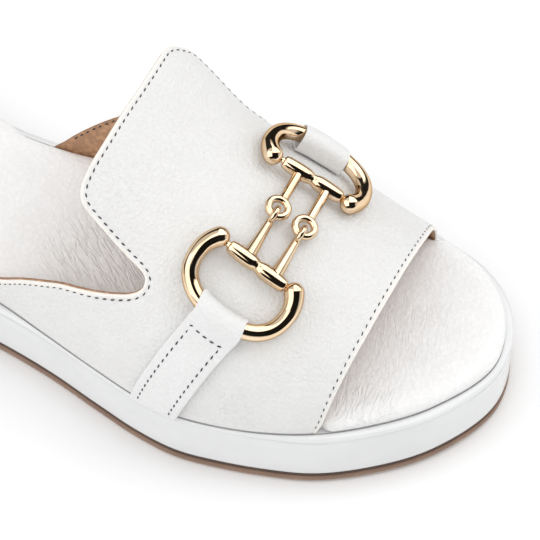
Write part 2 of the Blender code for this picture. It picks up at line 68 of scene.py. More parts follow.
# The shoe's own measures, in millimetres: x runs from the back of the heel to the toe, y to the
# big-toe side and z up.
shoe = dict(middle=(125.35, -2.5), gap=0.3, outsoleThickness=3.4, midsoleThickness=16.5,
            toeSpring=1.2, springStart=195.0, heelLift=4.0, liftRun=(30.0, 120.0),
            bedEdge=4.6, bedCrown=1.2, heelPad=1.5, archPad=0.8, wall=1.6)
seatHeight = shoe["outsoleThickness"] + shoe["midsoleThickness"] + 2 * shoe["gap"]


def table(columns, rows):
    return dict(zip(columns.split(), np.array(rows, float).T))


# where the leather meets the rand, and how far the rand stands out from it
seam = table("x y stand", [
    (2.3, -5.0, 2.2), (9.0, -21.5, 2.2), (33.0, -32.0, 2.2), (72.0, -34.2, 2.2),
    (105.0, -34.9, 2.2), (124.0, -36.0, 1.8), (141.0, -39.3, 0.4), (157.0, -42.5, 0.2),
    (171.0, -44.8, 0.2), (182.0, -45.2, 0.2), (194.0, -42.9, 0.2), (205.0, -39.2, 0.7),
    (216.0, -33.8, 1.8), (228.0, -25.0, 2.3), (240.4, -11.8, 2.4), (248.9, 8.5, 1.7),
    (243.6, 23.0, 2.5), (233.0, 32.0, 2.5), (220.0, 35.8, 2.3), (204.0, 38.8, 2.2),
    (186.0, 39.6, 2.2), (160.0, 32.8, 2.2), (132.0, 20.0, 2.2), (104.0, 14.8, 2.2),
    (72.0, 16.5, 2.2), (33.0, 21.5, 2.2), (9.0, 12.5, 2.2)])
toeRow = 15

last = table("x crown ridge outer inner full", [
    (80, 92.0, 4.0, 40.0, 36.0, 2.8), (115, 87.0, 5.0, 41.0, 39.0, 2.9),
    (142, 75.5, 6.0, 41.5, 41.0, 3.1), (165, 64.5, 2.0, 46.0, 40.0, 2.35),
    (190, 56.8, -2.0, 45.0, 39.0, 2.1), (210, 49.5, 0.0, 40.0, 35.0, 2.05),
    (224, 46.0, 1.0, 33.0, 33.5, 2.0), (248, 39.0, 1.0, 20.0, 20.0, 2.0)])

frontEdge = table("girth x", [
    (0.0, 217.3), (0.05, 218.6), (0.13, 219.6), (0.26, 220.9), (0.37, 221.7),
    (0.47, 221.9), (0.59, 221.5), (0.7, 220.7), (0.84, 218.9), (1.0, 217.5)])

backEdge = table("girth x", [
    (0.0, 110.0), (0.01, 118.5), (0.023, 125.2), (0.045, 132.1), (0.06, 136.3), (0.078, 141.0),
    (0.094, 144.6), (0.114, 148.7), (0.144, 153.6), (0.174, 158.0), (0.2, 161.8),
    (0.218, 164.4), (0.234, 166.1), (0.25, 166.9), (0.262, 166.7), (0.27, 165.6),
    (0.274, 163.6), (0.277, 159.0), (0.28, 154.0), (0.283, 149.0), (0.286, 146.8),
    (0.293, 145.3), (0.306, 144.3), (0.325, 143.8), (0.36, 143.7), (0.43, 144.0), (0.5, 143.8),
    (0.55, 143.4), (0.59, 143.0), (0.615, 143.3), (0.635, 144.1), (0.66, 145.2), (0.69, 146.3),
    (0.715, 148.2), (0.733, 151.8), (0.746, 155.2), (0.756, 158.6), (0.763, 162.0),
    (0.77, 165.2), (0.782, 167.0), (0.797, 166.3), (0.82, 162.8), (0.85, 157.6), (0.88, 151.4),
    (0.91, 143.6), (0.935, 135.3), (0.954, 128.4), (0.966, 124.2), (0.976, 120.8),
    (0.986, 117.3), (0.994, 114.4), (1.0, 111.0)])


def follow(tab, key, at, base="x"):
    # smooth curve through one column of a table, with no overshoot
    place, value = tab[base], tab[key]
    step = np.diff(place)
    slope = np.diff(value) / step
    before, after = slope[:-1], slope[1:]
    weightB, weightA = 2 * step[1:] + step[:-1], step[1:] + 2 * step[:-1]
    sameWay = before * after > 0
    safeB, safeA = np.where(sameWay, before, 1.0), np.where(sameWay, after, 1.0)
    inner = (weightB + weightA) / (weightB / safeB + weightA / safeA)
    tangent = np.concatenate([slope[:1], np.where(sameWay, inner, 0.0), slope[-1:]])
    at = np.clip(at, place[0], place[-1])
    i = np.clip(np.searchsorted(place, at) - 1, 0, len(step) - 1)
    s = (at - place[i]) / step[i]
    return (value[i] * (1 + 2 * s) * (1 - s) ** 2 + value[i + 1] * s * s * (3 - 2 * s)
            + step[i] * (tangent[i] * s * (1 - s) ** 2 - tangent[i + 1] * s * s * (1 - s)))


def ease(value, start, end):
    s = np.clip((value - start) / (end - start), 0.0, 1.0)
    return s * s * (3 - 2 * s)


def toeSpring(x):
    run = shoe["middle"][0] * 2 - shoe["springStart"]
    return shoe["toeSpring"] * np.clip((x - shoe["springStart"]) / run, 0.0, 1.1) ** 2


def seat(x):
    lift = shoe["heelLift"] * ease(x, shoe["liftRun"][1], shoe["liftRun"][0])
    return seatHeight + lift + toeSpring(x)


def closedCurve(points, steps):
    ahead = np.roll(points, -1, axis=0)
    chord = np.linalg.norm((ahead - points)[:, :2], axis=1)[:, None]
    direction = (ahead - points) / chord
    chordBack, directionBack = np.roll(chord, 1, axis=0), np.roll(direction, 1, axis=0)
    tangent = (directionBack * chord + direction * chordBack) / (chord + chordBack)
    s = (np.arange(steps) / steps)[None, :, None]
    p, q = points[:, None], ahead[:, None]
    t, u = tangent[:, None], np.roll(tangent, -1, axis=0)[:, None]
    loop = (p * (1 + 2 * s) * (1 - s) ** 2 + q * s * s * (3 - 2 * s)
            + chord[:, None] * (t * s * (1 - s) ** 2 - u * s * s * (1 - s)))
    return loop.reshape(-1, points.shape[1])


def walkedAlong(path):
    return np.concatenate([[0], np.cumsum(np.linalg.norm(np.diff(path, axis=0), axis=1))])


def sampled(columns, walked, marks):
    # the columns of a walked path, read at the given marks along it
    return np.stack([np.interp(marks, walked, column) for column in columns.T], axis=1)


def evenly(path, count):
    walked = walkedAlong(path[:, :2])
    return sampled(path, walked, np.linspace(0, walked[-1], count + 1))


def softened(line, rounds):
    # every inner point moved towards its two neighbours
    for _ in range(rounds):
        line[1:-1] = (line[:-2] + line[1:-1] * 2 + line[2:]) / 4
    return line


spanSteps = 24
seamLoop = closedCurve(np.stack(list(seam.values()), axis=1), spanSteps)
outerHalf = seamLoop[:toeRow * spanSteps + 1]
innerHalf = np.vstack([seamLoop[toeRow * spanSteps:], seamLoop[:1]])[::-1]


def seamY(x, innerSide):
    half = innerHalf if innerSide else outerHalf
    return np.interp(x, half[:, 0], half[:, 1])


def soleRing(count, offset, randShare=0.0):
    # points round the sole, from the back of the heel along the outer side
    half = count // 2
    ring = np.vstack([evenly(outerHalf, half), evenly(innerHalf, half)[-2:0:-1]])
    along = (np.roll(ring, -1, axis=0) - np.roll(ring, 1, axis=0))[:, :2]
    along /= np.linalg.norm(along, axis=1)[:, None]
    out = np.stack([along[:, 1], -along[:, 0]], axis=1)
    return ring[:, :2] + out * (offset + randShare * ring[:, 2])[:, None]


def lastPoint(x, girth):
    # a point of the upper's outside; girth is 0 at the outer seam and 1 at the inner seam
    crown, ridge, full = (follow(last, key, x) for key in ("crown", "ridge", "full"))
    across, up = np.cos(math.pi * girth), np.abs(np.sin(math.pi * girth))
    outer = across > 0
    body = np.where(outer, follow(last, "outer", x), follow(last, "inner", x))
    foot = np.where(outer, ridge - seamY(x, False), seamY(x, True) - ridge)
    half = body * np.abs(across) ** (2 / full) - (body - foot) * (1 - up)
    y = ridge - np.sign(across) * half
    z = seat(x) + (crown + toeSpring(x) - seat(x)) * up ** (2 / full)
    return np.stack(np.broadcast_arrays(x, y, z), axis=-1)


def lastNormal(x, girth):
    dx, dg = 0.5, 0.004
    ahead = lastPoint(x + dx, girth) - lastPoint(x - dx, girth)
    low, high = np.clip(girth - dg, 0.001, 0.999), np.clip(girth + dg, 0.001, 0.999)
    over = lastPoint(x, high) - lastPoint(x, low)
    normal = np.cross(ahead, over)
    return normal / np.linalg.norm(normal, axis=-1, keepdims=True)


def surfacePlace(x, girth, height):
    return lastPoint(x, girth) + np.asarray(height)[..., None] * lastNormal(x, girth)


def inModel(points):
    # from millimetres on the shoe to metres in the model's frame
    return (np.asarray(points, float) - (*shoe["middle"], 0)) * 0.001


# helpers for pieces
def meshPiece(name, points, faces):
    mesh = bpy.data.meshes.new(name)
    mesh.from_pydata(inModel(points).tolist(), [], faces)
    bm = bmesh.new()
    bm.from_mesh(mesh)
    bmesh.ops.recalc_face_normals(bm, faces=bm.faces)
    bm.to_mesh(mesh)
    bm.free()
    piece = bpy.data.objects.new(name, mesh)
    bpy.context.collection.objects.link(piece)
    return piece


def pickOnly(*chosen):
    bpy.ops.object.select_all(action="DESELECT")
    for piece in chosen:
        piece.select_set(True)
    bpy.context.view_layer.objects.active = chosen[0]


def finishPiece(piece, material, slot, *nodes, angle=None):
    piece.data.materials.clear()
    piece.data.materials.append(material)
    pickOnly(piece)
    if angle is None:
        bpy.ops.object.shade_smooth()
    else:
        bpy.ops.object.shade_smooth_by_angle(angle=math.radians(angle))
    bpy.ops.object.select_all(action="DESELECT")
    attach(piece, "root")
    if nodes:
        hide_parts(*nodes)


def roundBar(name, centres, radii, closed=False, smoothness=7):
    # a curve with a round section whose size changes along it, made a mesh
    bpy.ops.object.select_all(action="DESELECT")
    bpy.ops.curve.primitive_nurbs_path_add()
    bar = bpy.context.object
    bar.name = name
    curve = bar.data
    curve.splines.clear()
    spline = curve.splines.new("POLY")
    spline.points.add(len(centres) - 1)
    for point, centre, radius in zip(spline.points, centres, radii):
        point.co = (*inModel(centre), 1.0)
        point.radius = float(radius)
    spline.use_cyclic_u = closed
    curve.dimensions = "3D"
    curve.use_radius = True
    curve.bevel_depth, curve.bevel_resolution = 0.001, smoothness
    curve.use_fill_caps = not closed
    bpy.ops.object.convert(target="MESH")
    bar = bpy.context.object
    bpy.ops.object.mode_set(mode="EDIT")
    bpy.ops.mesh.select_all(action="SELECT")
    bpy.ops.mesh.remove_doubles(threshold=0.000002)
    bpy.ops.mesh.normals_make_consistent(inside=False)
    bpy.ops.object.mode_set(mode="OBJECT")
    return bar


def gridFaces(rows, columns):
    # quads between neighbouring closed rings of points
    faces = []
    for row in range(0, (rows - 1) * columns, columns):
        for i in range(columns):
            k = (i + 1) % columns
            faces.append((row + i, row + k, row + columns + k, row + columns + i))
    return faces


def lidFaces(count, first=0, flip=False):
    # quads from side to side over one closed ring of points
    faces = []
    for i in range(count // 2):
        corners = [i, i + 1, (-i - 1) % count, -i % count]
        face = [first + c for c in dict.fromkeys(corners)]
        faces.append(face[::-1] if flip else face)
    return faces


def markPoints(piece, name, values):
    mark = piece.data.attributes.new(name, "FLOAT", "POINT")
    mark.data.foreach_set("value", np.asarray(values, np.float32))


# shader groups
class Tree:
    # short names for making and joining shader nodes
    def __init__(self, tree):
        self.tree = tree

    def feed(self, socket, value):
        if isinstance(value, bpy.types.NodeSocket):
            self.tree.links.new(value, socket)
        else:
            socket.default_value = value

    def put(self, node, key, value):
        named = [s for s in node.inputs if s.name.replace(" ", "") == key and s.enabled]
        if named:
            self.feed(named[0], value)
        else:
            setattr(node, key, value)

    def node(self, kind, **sockets):
        made = self.tree.nodes.new(kind)
        for key, value in sockets.items():
            self.put(made, key, value)
        return made

    def math(self, operation, *values):
        made = self.node("ShaderNodeMath", operation=operation)
        for socket, value in zip(made.inputs, values):
            self.feed(socket, value)
        return made.outputs[0]

    def plus(self, total, *others):
        for other in others:
            total = self.math("ADD", total, other)
        return total

    def times(self, product, *others):
        for other in others:
            product = self.math("MULTIPLY", product, other)
        return product

    def vector(self, operation, *values, result="Vector"):
        made = self.node("ShaderNodeVectorMath", operation=operation)
        for socket, value in zip(made.inputs, values):
            self.feed(socket, value)
        return made.outputs[result]

    def ramp(self, value, low, high, toLow=0.0, toHigh=1.0):
        made = self.node("ShaderNodeMapRange", interpolation_type="SMOOTHSTEP")
        for socket, number in zip(made.inputs, (value, low, high, toLow, toHigh)):
            self.feed(socket, number)
        return made.outputs["Result"]

    def blend(self, factor, first, second):
        made = self.node("ShaderNodeMix", data_type="RGBA")
        for index, value in ((0, factor), (6, first), (7, second)):
            self.feed(made.inputs[index], (*value, 1.0) if isinstance(value, tuple) else value)
        return made.outputs[2]

    def noise(self, vector, scale, detail=3.0, rough=0.5, warp=0.0):
        made = self.node("ShaderNodeTexNoise", Vector=vector, Scale=scale, Detail=detail,
                         Roughness=rough, Distortion=warp)
        return made.outputs[0]

    def marked(self, name):
        # a value marked on the points of the mesh
        return self.node("ShaderNodeAttribute", attribute_name=name).outputs["Fac"]


def newGroup(name, vectors, floats, results):
    # a node group, its tree, the sockets that come in and the sockets that leave
    group = bpy.data.node_groups.new(name, "ShaderNodeTree")
    for labels, way, kind in ((vectors, "INPUT", "NodeSocketVector"),
                              (floats, "INPUT", "NodeSocketFloat"),
                              (results, "OUTPUT", "NodeSocketFloat")):
        for label in labels.split():
            group.interface.new_socket(label, in_out=way, socket_type=kind)
    tree = Tree(group)
    enter, leave = tree.node("NodeGroupInput"), tree.node("NodeGroupOutput")
    return group, tree, list(enter.outputs)[:-1], leave.inputs


def makeGrainGroup():
    # soft pebbled leather: cells with rounded tops, fine pores and a slow change of tone
    group, tree, enter, leave = newGroup("leather grain", "Vector", "Cells Pores Softness",
                                         "Height Tone Pore Valley")
    place, cells, pores, soft = enter
    drift = tree.node("ShaderNodeTexNoise", Vector=place, Scale=420.0, Detail=2.0)
    shift = tree.vector("MULTIPLY", drift.outputs["Color"], (0.0011, 0.0011, 0.0011))
    cell = tree.node("ShaderNodeTexVoronoi", feature="SMOOTH_F1", Scale=cells, Smoothness=soft,
                     Vector=tree.vector("ADD", place, shift)).outputs["Distance"]
    pore = tree.noise(place, pores, 2.0, 0.6)
    slow = tree.noise(place, 130.0, 2.0)
    dome = tree.math("SUBTRACT", 1.0, cell)
    tree.feed(leave[0], tree.plus(dome, tree.times(pore, 0.55), tree.times(slow, 0.9)))
    tree.feed(leave[1], tree.ramp(slow, 0.3, 0.7))
    tree.feed(leave[2], tree.ramp(pore, 0.35, 0.6))
    tree.feed(leave[3], tree.ramp(cell, 0.25, 0.6))
    return group


def makeCreaseGroup():
    # fine wrinkles that run one way, kept to a soft round patch
    group, tree, enter, leave = newGroup("wrinkle patch", "Vector Centre", "Reach Turn Scale",
                                         "Height")
    place, centre, reach, turn, scale = enter
    away = tree.vector("SUBTRACT", place, centre)
    share = tree.math("DIVIDE", tree.vector("LENGTH", away, result="Value"), reach)
    mask = tree.ramp(share, 0.25, 1.0, 1.0, 0.0)
    spun = tree.node("ShaderNodeVectorRotate", rotation_type="Z_AXIS", Vector=away, Angle=turn)
    drawn = tree.vector("MULTIPLY", spun.outputs[0], (0.16, 1.0, 0.6))
    folds = tree.noise(drawn, scale, 2.5, 0.55, 0.6)
    ridge = tree.math("ABSOLUTE", tree.math("SUBTRACT", folds, 0.5))
    trough = tree.math("SUBTRACT", tree.ramp(ridge, 0.0, 0.09), 1.0)
    tree.feed(leave[0], tree.times(trough, mask))
    return group


def makeHandlingGroup():
    # faint smears and hairline rubs on hard, shiny parts
    group, tree, enter, leave = newGroup("handling marks", "Vector", "Smears Hairs", "Smear Rub")
    place, smears, hairs = enter
    smear = tree.noise(place, smears, 3.0, 0.55)
    hair = tree.noise(tree.vector("MULTIPLY", place, (0.12, 0.9, 1.0)), hairs, 4.0, 0.7)
    tree.feed(leave[0], tree.ramp(smear, 0.35, 0.68))
    tree.feed(leave[1], tree.ramp(hair, 0.6, 0.78))
    return group


grainGroup = makeGrainGroup()
creaseGroup = makeCreaseGroup()
handlingGroup = makeHandlingGroup()


def newMaterial(name, **constants):
    material = bpy.data.materials.new(name)
    material.use_nodes = True
    tree = Tree(material.node_tree)
    shader = material.node_tree.nodes["Principled BSDF"]
    for key, value in constants.items():
        tree.put(shader, key, value)
    place = tree.node("ShaderNodeTexCoord").outputs["Object"]
    return material, tree, shader, place


def useGroup(tree, group, **sockets):
    made = tree.node("ShaderNodeGroup", node_tree=group)
    for key, value in sockets.items():
        tree.put(made, key, value)
    return made.outputs


def paint(tree, shader, mask, dark, light):
    tree.put(shader, "BaseColor", tree.blend(mask, dark, light))


def dull(tree, shader, mask, rough, low=0.0, high=1.0):
    tree.put(shader, "Roughness", tree.ramp(mask, low, high, *rough))


def emboss(tree, shader, height, strength, distance):
    bump = tree.node("ShaderNodeBump", Height=height, Strength=strength, Distance=distance)
    tree.put(shader, "Normal", bump.outputs[0])


leather = dict(light=(0.718, 0.715, 0.708), shade=(0.698, 0.694, 0.685), cells=1150.0,
               pores=2600.0, grain=1.0, depth=0.00022, valley=0.4, deepest=0.93,
               rough=(0.42, 0.56), rolled=0.0, rolledTone=(0.86, 0.815, 0.75))


def makeLeather(name, settings, patches=()):
    material, tree, shader, place = newMaterial(name, SheenWeight=0.08, SheenRoughness=0.5,
                                                IOR=1.46)
    grain = useGroup(tree, grainGroup, Vector=place, Cells=settings["cells"],
                     Pores=settings["pores"], Softness=0.6)
    tone = tree.blend(grain["Tone"], settings["shade"], settings["light"])
    deep = tuple(settings["deepest"] * c for c in settings["shade"])
    tone = tree.blend(tree.times(grain["Valley"], settings["valley"]), tone, deep)
    height = grain["Height"]
    for centre, reach, turn, scale, depth in patches:
        patch = useGroup(tree, creaseGroup, Vector=place, Centre=centre, Reach=reach,
                         Turn=math.radians(turn), Scale=scale)
        height = tree.plus(height, tree.times(patch["Height"], depth))
    if settings["rolled"]:
        near = tree.times(tree.marked("rolledEdge"), settings["rolled"])
        tone = tree.blend(near, tone, settings["rolledTone"])
    tree.put(shader, "BaseColor", tone)
    dull(tree, shader, grain["Pore"], settings["rough"])
    emboss(tree, shader, height, settings["grain"], settings["depth"])
    return material


def modelPoint(x, y, z):
    return tuple(float(v) for v in inModel((x, y, z)))


# (centre, reach, turn, scale, depth) of each patch of fine wrinkles
vampPatches = [(modelPoint(196, -40, 30), 0.013, 12, 560.0, 0.4),
               (modelPoint(150, -20, 62), 0.020, 20, 380.0, 0.35),
               (modelPoint(206, -28, 38), 0.014, -20, 420.0, 0.4)]
bedPatches = [(modelPoint(225, -24, 26), 0.015, 80, 560.0, 1.0),
              (modelPoint(224, 2, 27), 0.022, 72, 700.0, 0.4),
              (modelPoint(145, -15, 27), 0.025, 34, 560.0, 1.4)]

upperLeather = makeLeather("white upper leather", dict(leather, rolled=0.8), vampPatches)
bedLeather = makeLeather("footbed leather", dict(
    leather, light=(0.81, 0.81, 0.808), shade=(0.785, 0.782, 0.775), cells=820.0,
    grain=0.7, rough=(0.48, 0.6)), bedPatches)
keeperLeather = makeLeather("keeper leather", dict(
    leather, light=(0.725, 0.725, 0.724), shade=(0.70, 0.699, 0.695), grain=0.5))
liningLeather = makeLeather("tan lining leather", dict(
    leather, light=(0.70, 0.42, 0.25), shade=(0.50, 0.285, 0.165), cells=620.0, pores=1900.0,
    grain=1.0, depth=0.0002, valley=0.7, deepest=0.72, rough=(0.6, 0.75), rolled=0.85,
    rolledTone=(0.16, 0.075, 0.04)))


def makeThread():
    material, tree, shader, place = newMaterial("charcoal thread", SheenWeight=0.2)
    twist = tree.noise(place, 5200.0, 1.0, 0.4)
    paint(tree, shader, twist, (0.011, 0.012, 0.014), (0.03, 0.032, 0.037))
    dull(tree, shader, twist, (0.45, 0.65), 0.3, 0.7)
    emboss(tree, shader, twist, 0.5, 0.00008)
    return material


rand = dict(light=(0.70, 0.704, 0.708), shade=(0.675, 0.679, 0.684), rough=(0.10, 0.22))


def makeRandSkin():
    material, tree, shader, place = newMaterial("glossy white rand", CoatWeight=0.35,
                                                CoatRoughness=0.05, IOR=1.5)
    marks = useGroup(tree, handlingGroup, Vector=place, Smears=70.0, Hairs=900.0)
    paint(tree, shader, marks["Smear"], rand["shade"], rand["light"])
    dull(tree, shader, marks["Smear"], rand["rough"])
    ripple = tree.noise(place, 260.0, 2.0)
    emboss(tree, shader, tree.plus(ripple, tree.times(marks["Rub"], 0.1)), 0.3, 0.00009)
    return material


# the paler tone and its strength paint the floor's bounce light onto the outsole's lower rounded edge
outsole = dict(band=(0.255, 0.158, 0.108), dark=(0.185, 0.11, 0.075), rough=(0.36, 0.55),
               sandedTone=(0.46, 0.33, 0.25), sanded=0.6)


def makeSoleRubber(name, band, dark, ribs=False):
    material, tree, shader, place = newMaterial(name, IOR=1.5)
    marks = useGroup(tree, handlingGroup, Vector=place, Smears=110.0, Hairs=700.0)
    fleck = tree.noise(place, 1500.0, 3.0, 0.6)
    tone = tree.plus(tree.times(marks["Smear"], 0.6), tree.times(fleck, 0.4))
    height, depth = tree.times(fleck, 0.25), 0.00012
    if ribs:
        # painted bounce light: the lower rounded edge is made paler
        sanded = tree.times(tree.marked("bounceLitEdge"), outsole["sanded"])
        paint(tree, shader, sanded, tree.blend(tone, dark, band), outsole["sandedTone"])
        height, depth = tree.plus(height, treadHeight(tree, place)), 0.0005
    else:
        paint(tree, shader, tone, dark, band)
    dull(tree, shader, fleck, outsole["rough"], 0.3, 0.7)
    emboss(tree, shader, height, 0.6, depth)
    return material


def treadHeight(tree, place):
    # shallow wavy ribs across the ball and the heel, on the underside alone
    x, y, z = tree.node("ShaderNodeSeparateXYZ", Vector=place).outputs
    under = tree.ramp(z, 0.0002, 0.0004, 1.0, 0.0)
    ball, heel = (tree.times(tree.ramp(x, back, back + 0.002),
                             tree.ramp(x, front - 0.002, front, 1.0, 0.0))
                  for back, front in ((0.016, 0.088), (-0.112, -0.066)))
    swing = tree.times(tree.math("SINE", tree.times(y, 420.0)), 1.1)
    wave = tree.math("SINE", tree.plus(tree.times(x, 1900.0), swing))
    return tree.times(tree.ramp(wave, -0.3, 0.3), tree.plus(ball, heel), under)


gold = dict(body=(0.85, 0.64, 0.42), pale=(0.91, 0.715, 0.51), rough=(0.03, 0.08))


def makeGold():
    material, tree, shader, place = newMaterial("pale gold plate", Metallic=1.0,
                                                SpecularTint=(0.50, 0.35, 0.21, 1.0))
    marks = useGroup(tree, handlingGroup, Vector=place, Smears=160.0, Hairs=2200.0)
    paint(tree, shader, marks["Smear"], gold["body"], gold["pale"])
    dull(tree, shader, marks["Smear"], gold["rough"])
    emboss(tree, shader, tree.noise(place, 700.0, 1.0, 0.4), 0.12, 0.00006)
    return material


threadMaterial = makeThread()
randSkin = makeRandSkin()
soleRubber = makeSoleRubber("brown outsole", outsole["band"], outsole["dark"], ribs=True)
# near-black rubber for the welt groove: painted shadow that deepens the real groove's shade
weltShadowRubber = makeSoleRubber("welt line painted as shadow", (0.08, 0.05, 0.036), (0.06, 0.036, 0.026))
# grey for the cord in the rand's seam corner: painted shadow
seamShadowCord = makeSoleRubber("grey cord painted as seam shadow", (0.30, 0.29, 0.28), (0.22, 0.215, 0.21))
goldPlate = makeGold()
print("materials made")


# outsole, rand and midsole
def soleLayer(name, levels):
    # a ring laid on the first level, drawn up from level to level, and closed at both ends
    count = len(levels[0])
    bpy.ops.object.select_all(action="DESELECT")
    bpy.ops.mesh.primitive_circle_add(vertices=count, radius=0.1)
    piece = bpy.context.object
    piece.name = piece.data.name = name
    for vert, spot in zip(piece.data.vertices, inModel(levels[0])):
        vert.co = spot
    bpy.ops.object.mode_set(mode="EDIT")
    bpy.ops.mesh.select_mode(type="VERT")
    bm = bmesh.from_edit_mesh(piece.data)
    bm.verts.ensure_lookup_table()
    rim = list(bm.verts)
    for face in lidFaces(count, flip=True):
        bm.faces.new([rim[i] for i in face])
    for level in levels[1:]:
        for vert in bm.verts:
            vert.select_set(False)
        for i, vert in enumerate(rim):
            vert.select_set(True)
            bm.edges.get((vert, rim[i - 1])).select_set(True)
        old = {vert.co.copy().freeze(): i for i, vert in enumerate(rim)}
        bmesh.update_edit_mesh(piece.data)
        bpy.ops.mesh.extrude_edges_move()
        bm = bmesh.from_edit_mesh(piece.data)
        rim = sorted((v for v in bm.verts if v.select), key=lambda v: old[v.co.copy().freeze()])
        for vert, spot in zip(rim, inModel(level)):
            vert.co = spot
    for face in lidFaces(count):
        bm.faces.new([rim[i] for i in face])
    bmesh.update_edit_mesh(piece.data)
    bpy.ops.mesh.select_all(action="SELECT")
    bpy.ops.mesh.normals_make_consistent(inside=False)
    bpy.ops.object.mode_set(mode="OBJECT")
    return piece


# one pair gives the heights over which the painted bounce light on the outsole's lower edge fades out
soleSettings = dict(points=300, weltHeight=1.0, weltInset=0.35, edgeRound=1.0, side=0.1,
                    shoulder=0.35, sanded=(1.4, 0.9), middle=-4.0, midsoleGap=0.12,
                    foot=((-0.75, 0), (-0.35, 0.12), (-0.1, 0.45), (0.0, 1.1)), waist=0.22,
                    waistShares=(0.25, 0.5, 0.75, 0.93), beadHeight=2.0, beadWidth=0.9,
                    beadOut=0.12, beadBack=0.42, beadTurns=(-38, -14, 8, 30, 50, 68, 82, 90),
                    sideHeights=(1.3, 1.6), weltEdge=0.1, seamOut=0.05, seamThick=0.12)
quarterTurn = math.pi / 2


def soleLevel(out, height, share=1.0):
    ring = soleRing(soleSettings["points"], out, share)
    return np.column_stack([ring, height + toeSpring(ring[:, 0])])


def makeOutsole():
    top, middle, small, side, shoulder, inset = shoe["outsoleThickness"], *(
        soleSettings[key] for key in ("middle", "edgeRound", "side", "shoulder", "weltInset"))
    body = top - soleSettings["weltHeight"]
    shelf = body - shoulder
    levels = [soleLevel(middle, 0.0)]
    levels += [soleLevel(side - small * (1 - math.sin(a)), small * (1 - math.cos(a)))
               for a in np.linspace(0, quarterTurn, 5)]
    levels += [soleLevel(side, height) for height in (*soleSettings["sideHeights"], shelf)]
    levels += [soleLevel(side - shoulder * (1 - math.cos(a)), shelf + shoulder * math.sin(a))
               for a in np.linspace(0, quarterTurn, 4)[1:]]
    levels.append(soleLevel(middle, body))
    sole = soleLayer("outsole_rubber", levels)
    # mark the lower rounded edge, up to about a millimetre high, for the painted bounce light
    spots = np.array([vert.co for vert in sole.data.vertices]) * 1000
    rise = spots[:, 2] - toeSpring(spots[:, 0] + shoe["middle"][0])
    sanded = ease(rise, *soleSettings["sanded"])
    sanded[:len(levels[0])] = 0
    markPoints(sole, "bounceLitEdge", sanded)
    finishPiece(sole, soleRubber, "outsole", "outsole", angle=50)
    # the welt: a real groove inset between outsole and midsole, coloured near-black as painted shadow
    low, edge = body + 0.02, soleSettings["weltEdge"]
    levels = [soleLevel(out, height) for out, height in (
        (middle, low), (-inset, low), (-inset, top - edge), (-inset - edge, top), (middle, top))]
    finishPiece(soleLayer("outsole_welt_shadow", levels), weltShadowRubber, "outsole", angle=50)


def makeMidsole():
    floor = shoe["outsoleThickness"] + soleSettings["midsoleGap"]
    high, wide, out, back = (soleSettings[key] for key in ("beadHeight", "beadWidth", "beadOut",
                                                           "beadBack"))
    levels = [soleLevel(away, floor + rise)
              for away, rise in ((soleSettings["middle"], 0), *soleSettings["foot"])]
    wall = floor + soleSettings["foot"][-1][1]
    plain = soleRing(soleSettings["points"], 0.0)
    top = seat(plain[:, 0]) - shoe["gap"]
    for share in soleSettings["waistShares"]:
        waist = -soleSettings["waist"] * math.sin(math.pi * share)
        ring = soleRing(soleSettings["points"], waist, 1.0)
        height = wall * (1 - share) + (top - high) * share
        levels.append(np.column_stack([ring, height + toeSpring(ring[:, 0]) * (1 - share)]))
    for turn in np.radians(soleSettings["beadTurns"]):
        bend = 1 - math.cos(turn)
        ring = soleRing(soleSettings["points"], out - back * bend, 1 - wide * bend)
        levels.append(np.column_stack([ring, top - high * 0.5 * (1 - math.sin(turn))]))
    ring = soleRing(soleSettings["points"], soleSettings["middle"], 0.0)
    levels.append(np.column_stack([ring, seat(ring[:, 0]) - shoe["gap"]]))
    finishPiece(soleLayer("rand_and_midsole", levels), randSkin, "rand", "midsole", angle=60)


def makeSeamLine():
    # a grey cord that paints the shadow in the corner where the leather and the footbed meet the rand
    ring, thick = soleRing(soleSettings["points"], soleSettings["seamOut"]), soleSettings["seamThick"]
    height = seat(ring[:, 0]) - shoe["gap"] + thick
    cord = roundBar("rand_seam_shadow", np.column_stack([ring, height]), [thick] * len(ring),
                    closed=True, smoothness=1)
    finishPiece(cord, seamShadowCord, "rand", angle=60)


makeOutsole()
makeMidsole()
makeSeamLine()
print("sole made")


# padded footbed
footbed = dict(columns=460, spine=(28.0, 220.0), sideRows=16, topRows=40, underUpper=(96, 105),
               pastUpper=(220.6, 217.6), arch=(95, 18), archSize=(32, 16), heelPadRun=(130, 60))
bedShoulder = table("up back", [(0.0, 0.15), (0.12, -0.08), (0.32, -0.16), (0.62, 0.22),
                                (0.86, 1.45), (1.0, 3.6)])
bedDents = table("x y length width depth turn", [
    (92, -18, 22, 2.6, 0.30, 28), (104, -8, 18, 2.2, 0.22, 38), (84, -6, 20, 2.8, 0.22, 18),
    (226, -19, 9, 1.0, 0.16, 70), (229, -15, 8, 1.0, 0.14, 62), (223, -25, 7, 0.9, 0.14, 76),
    (231, 2, 12, 1.8, 0.10, 60), (228, 14, 11, 1.6, 0.10, 40)])


def bedInset(x):
    # the footbed makes room for the upper's wall where the two run side by side
    under = ease(x, *footbed["underUpper"]) * ease(x, *footbed["pastUpper"])
    return (shoe["wall"] + 2 * shoe["gap"]) * under


def bedTop(x, y, inward):
    arch = np.exp(-sum(((at - middle) / size) ** 2 for at, middle, size in
                       zip((x, y), footbed["arch"], footbed["archSize"])))
    crown = shoe["bedCrown"] * (1 - (1 - inward) ** 2)
    return (seat(x) + shoe["bedEdge"] + crown + shoe["archPad"] * arch
            + shoe["heelPad"] * ease(x, *footbed["heelPadRun"]))


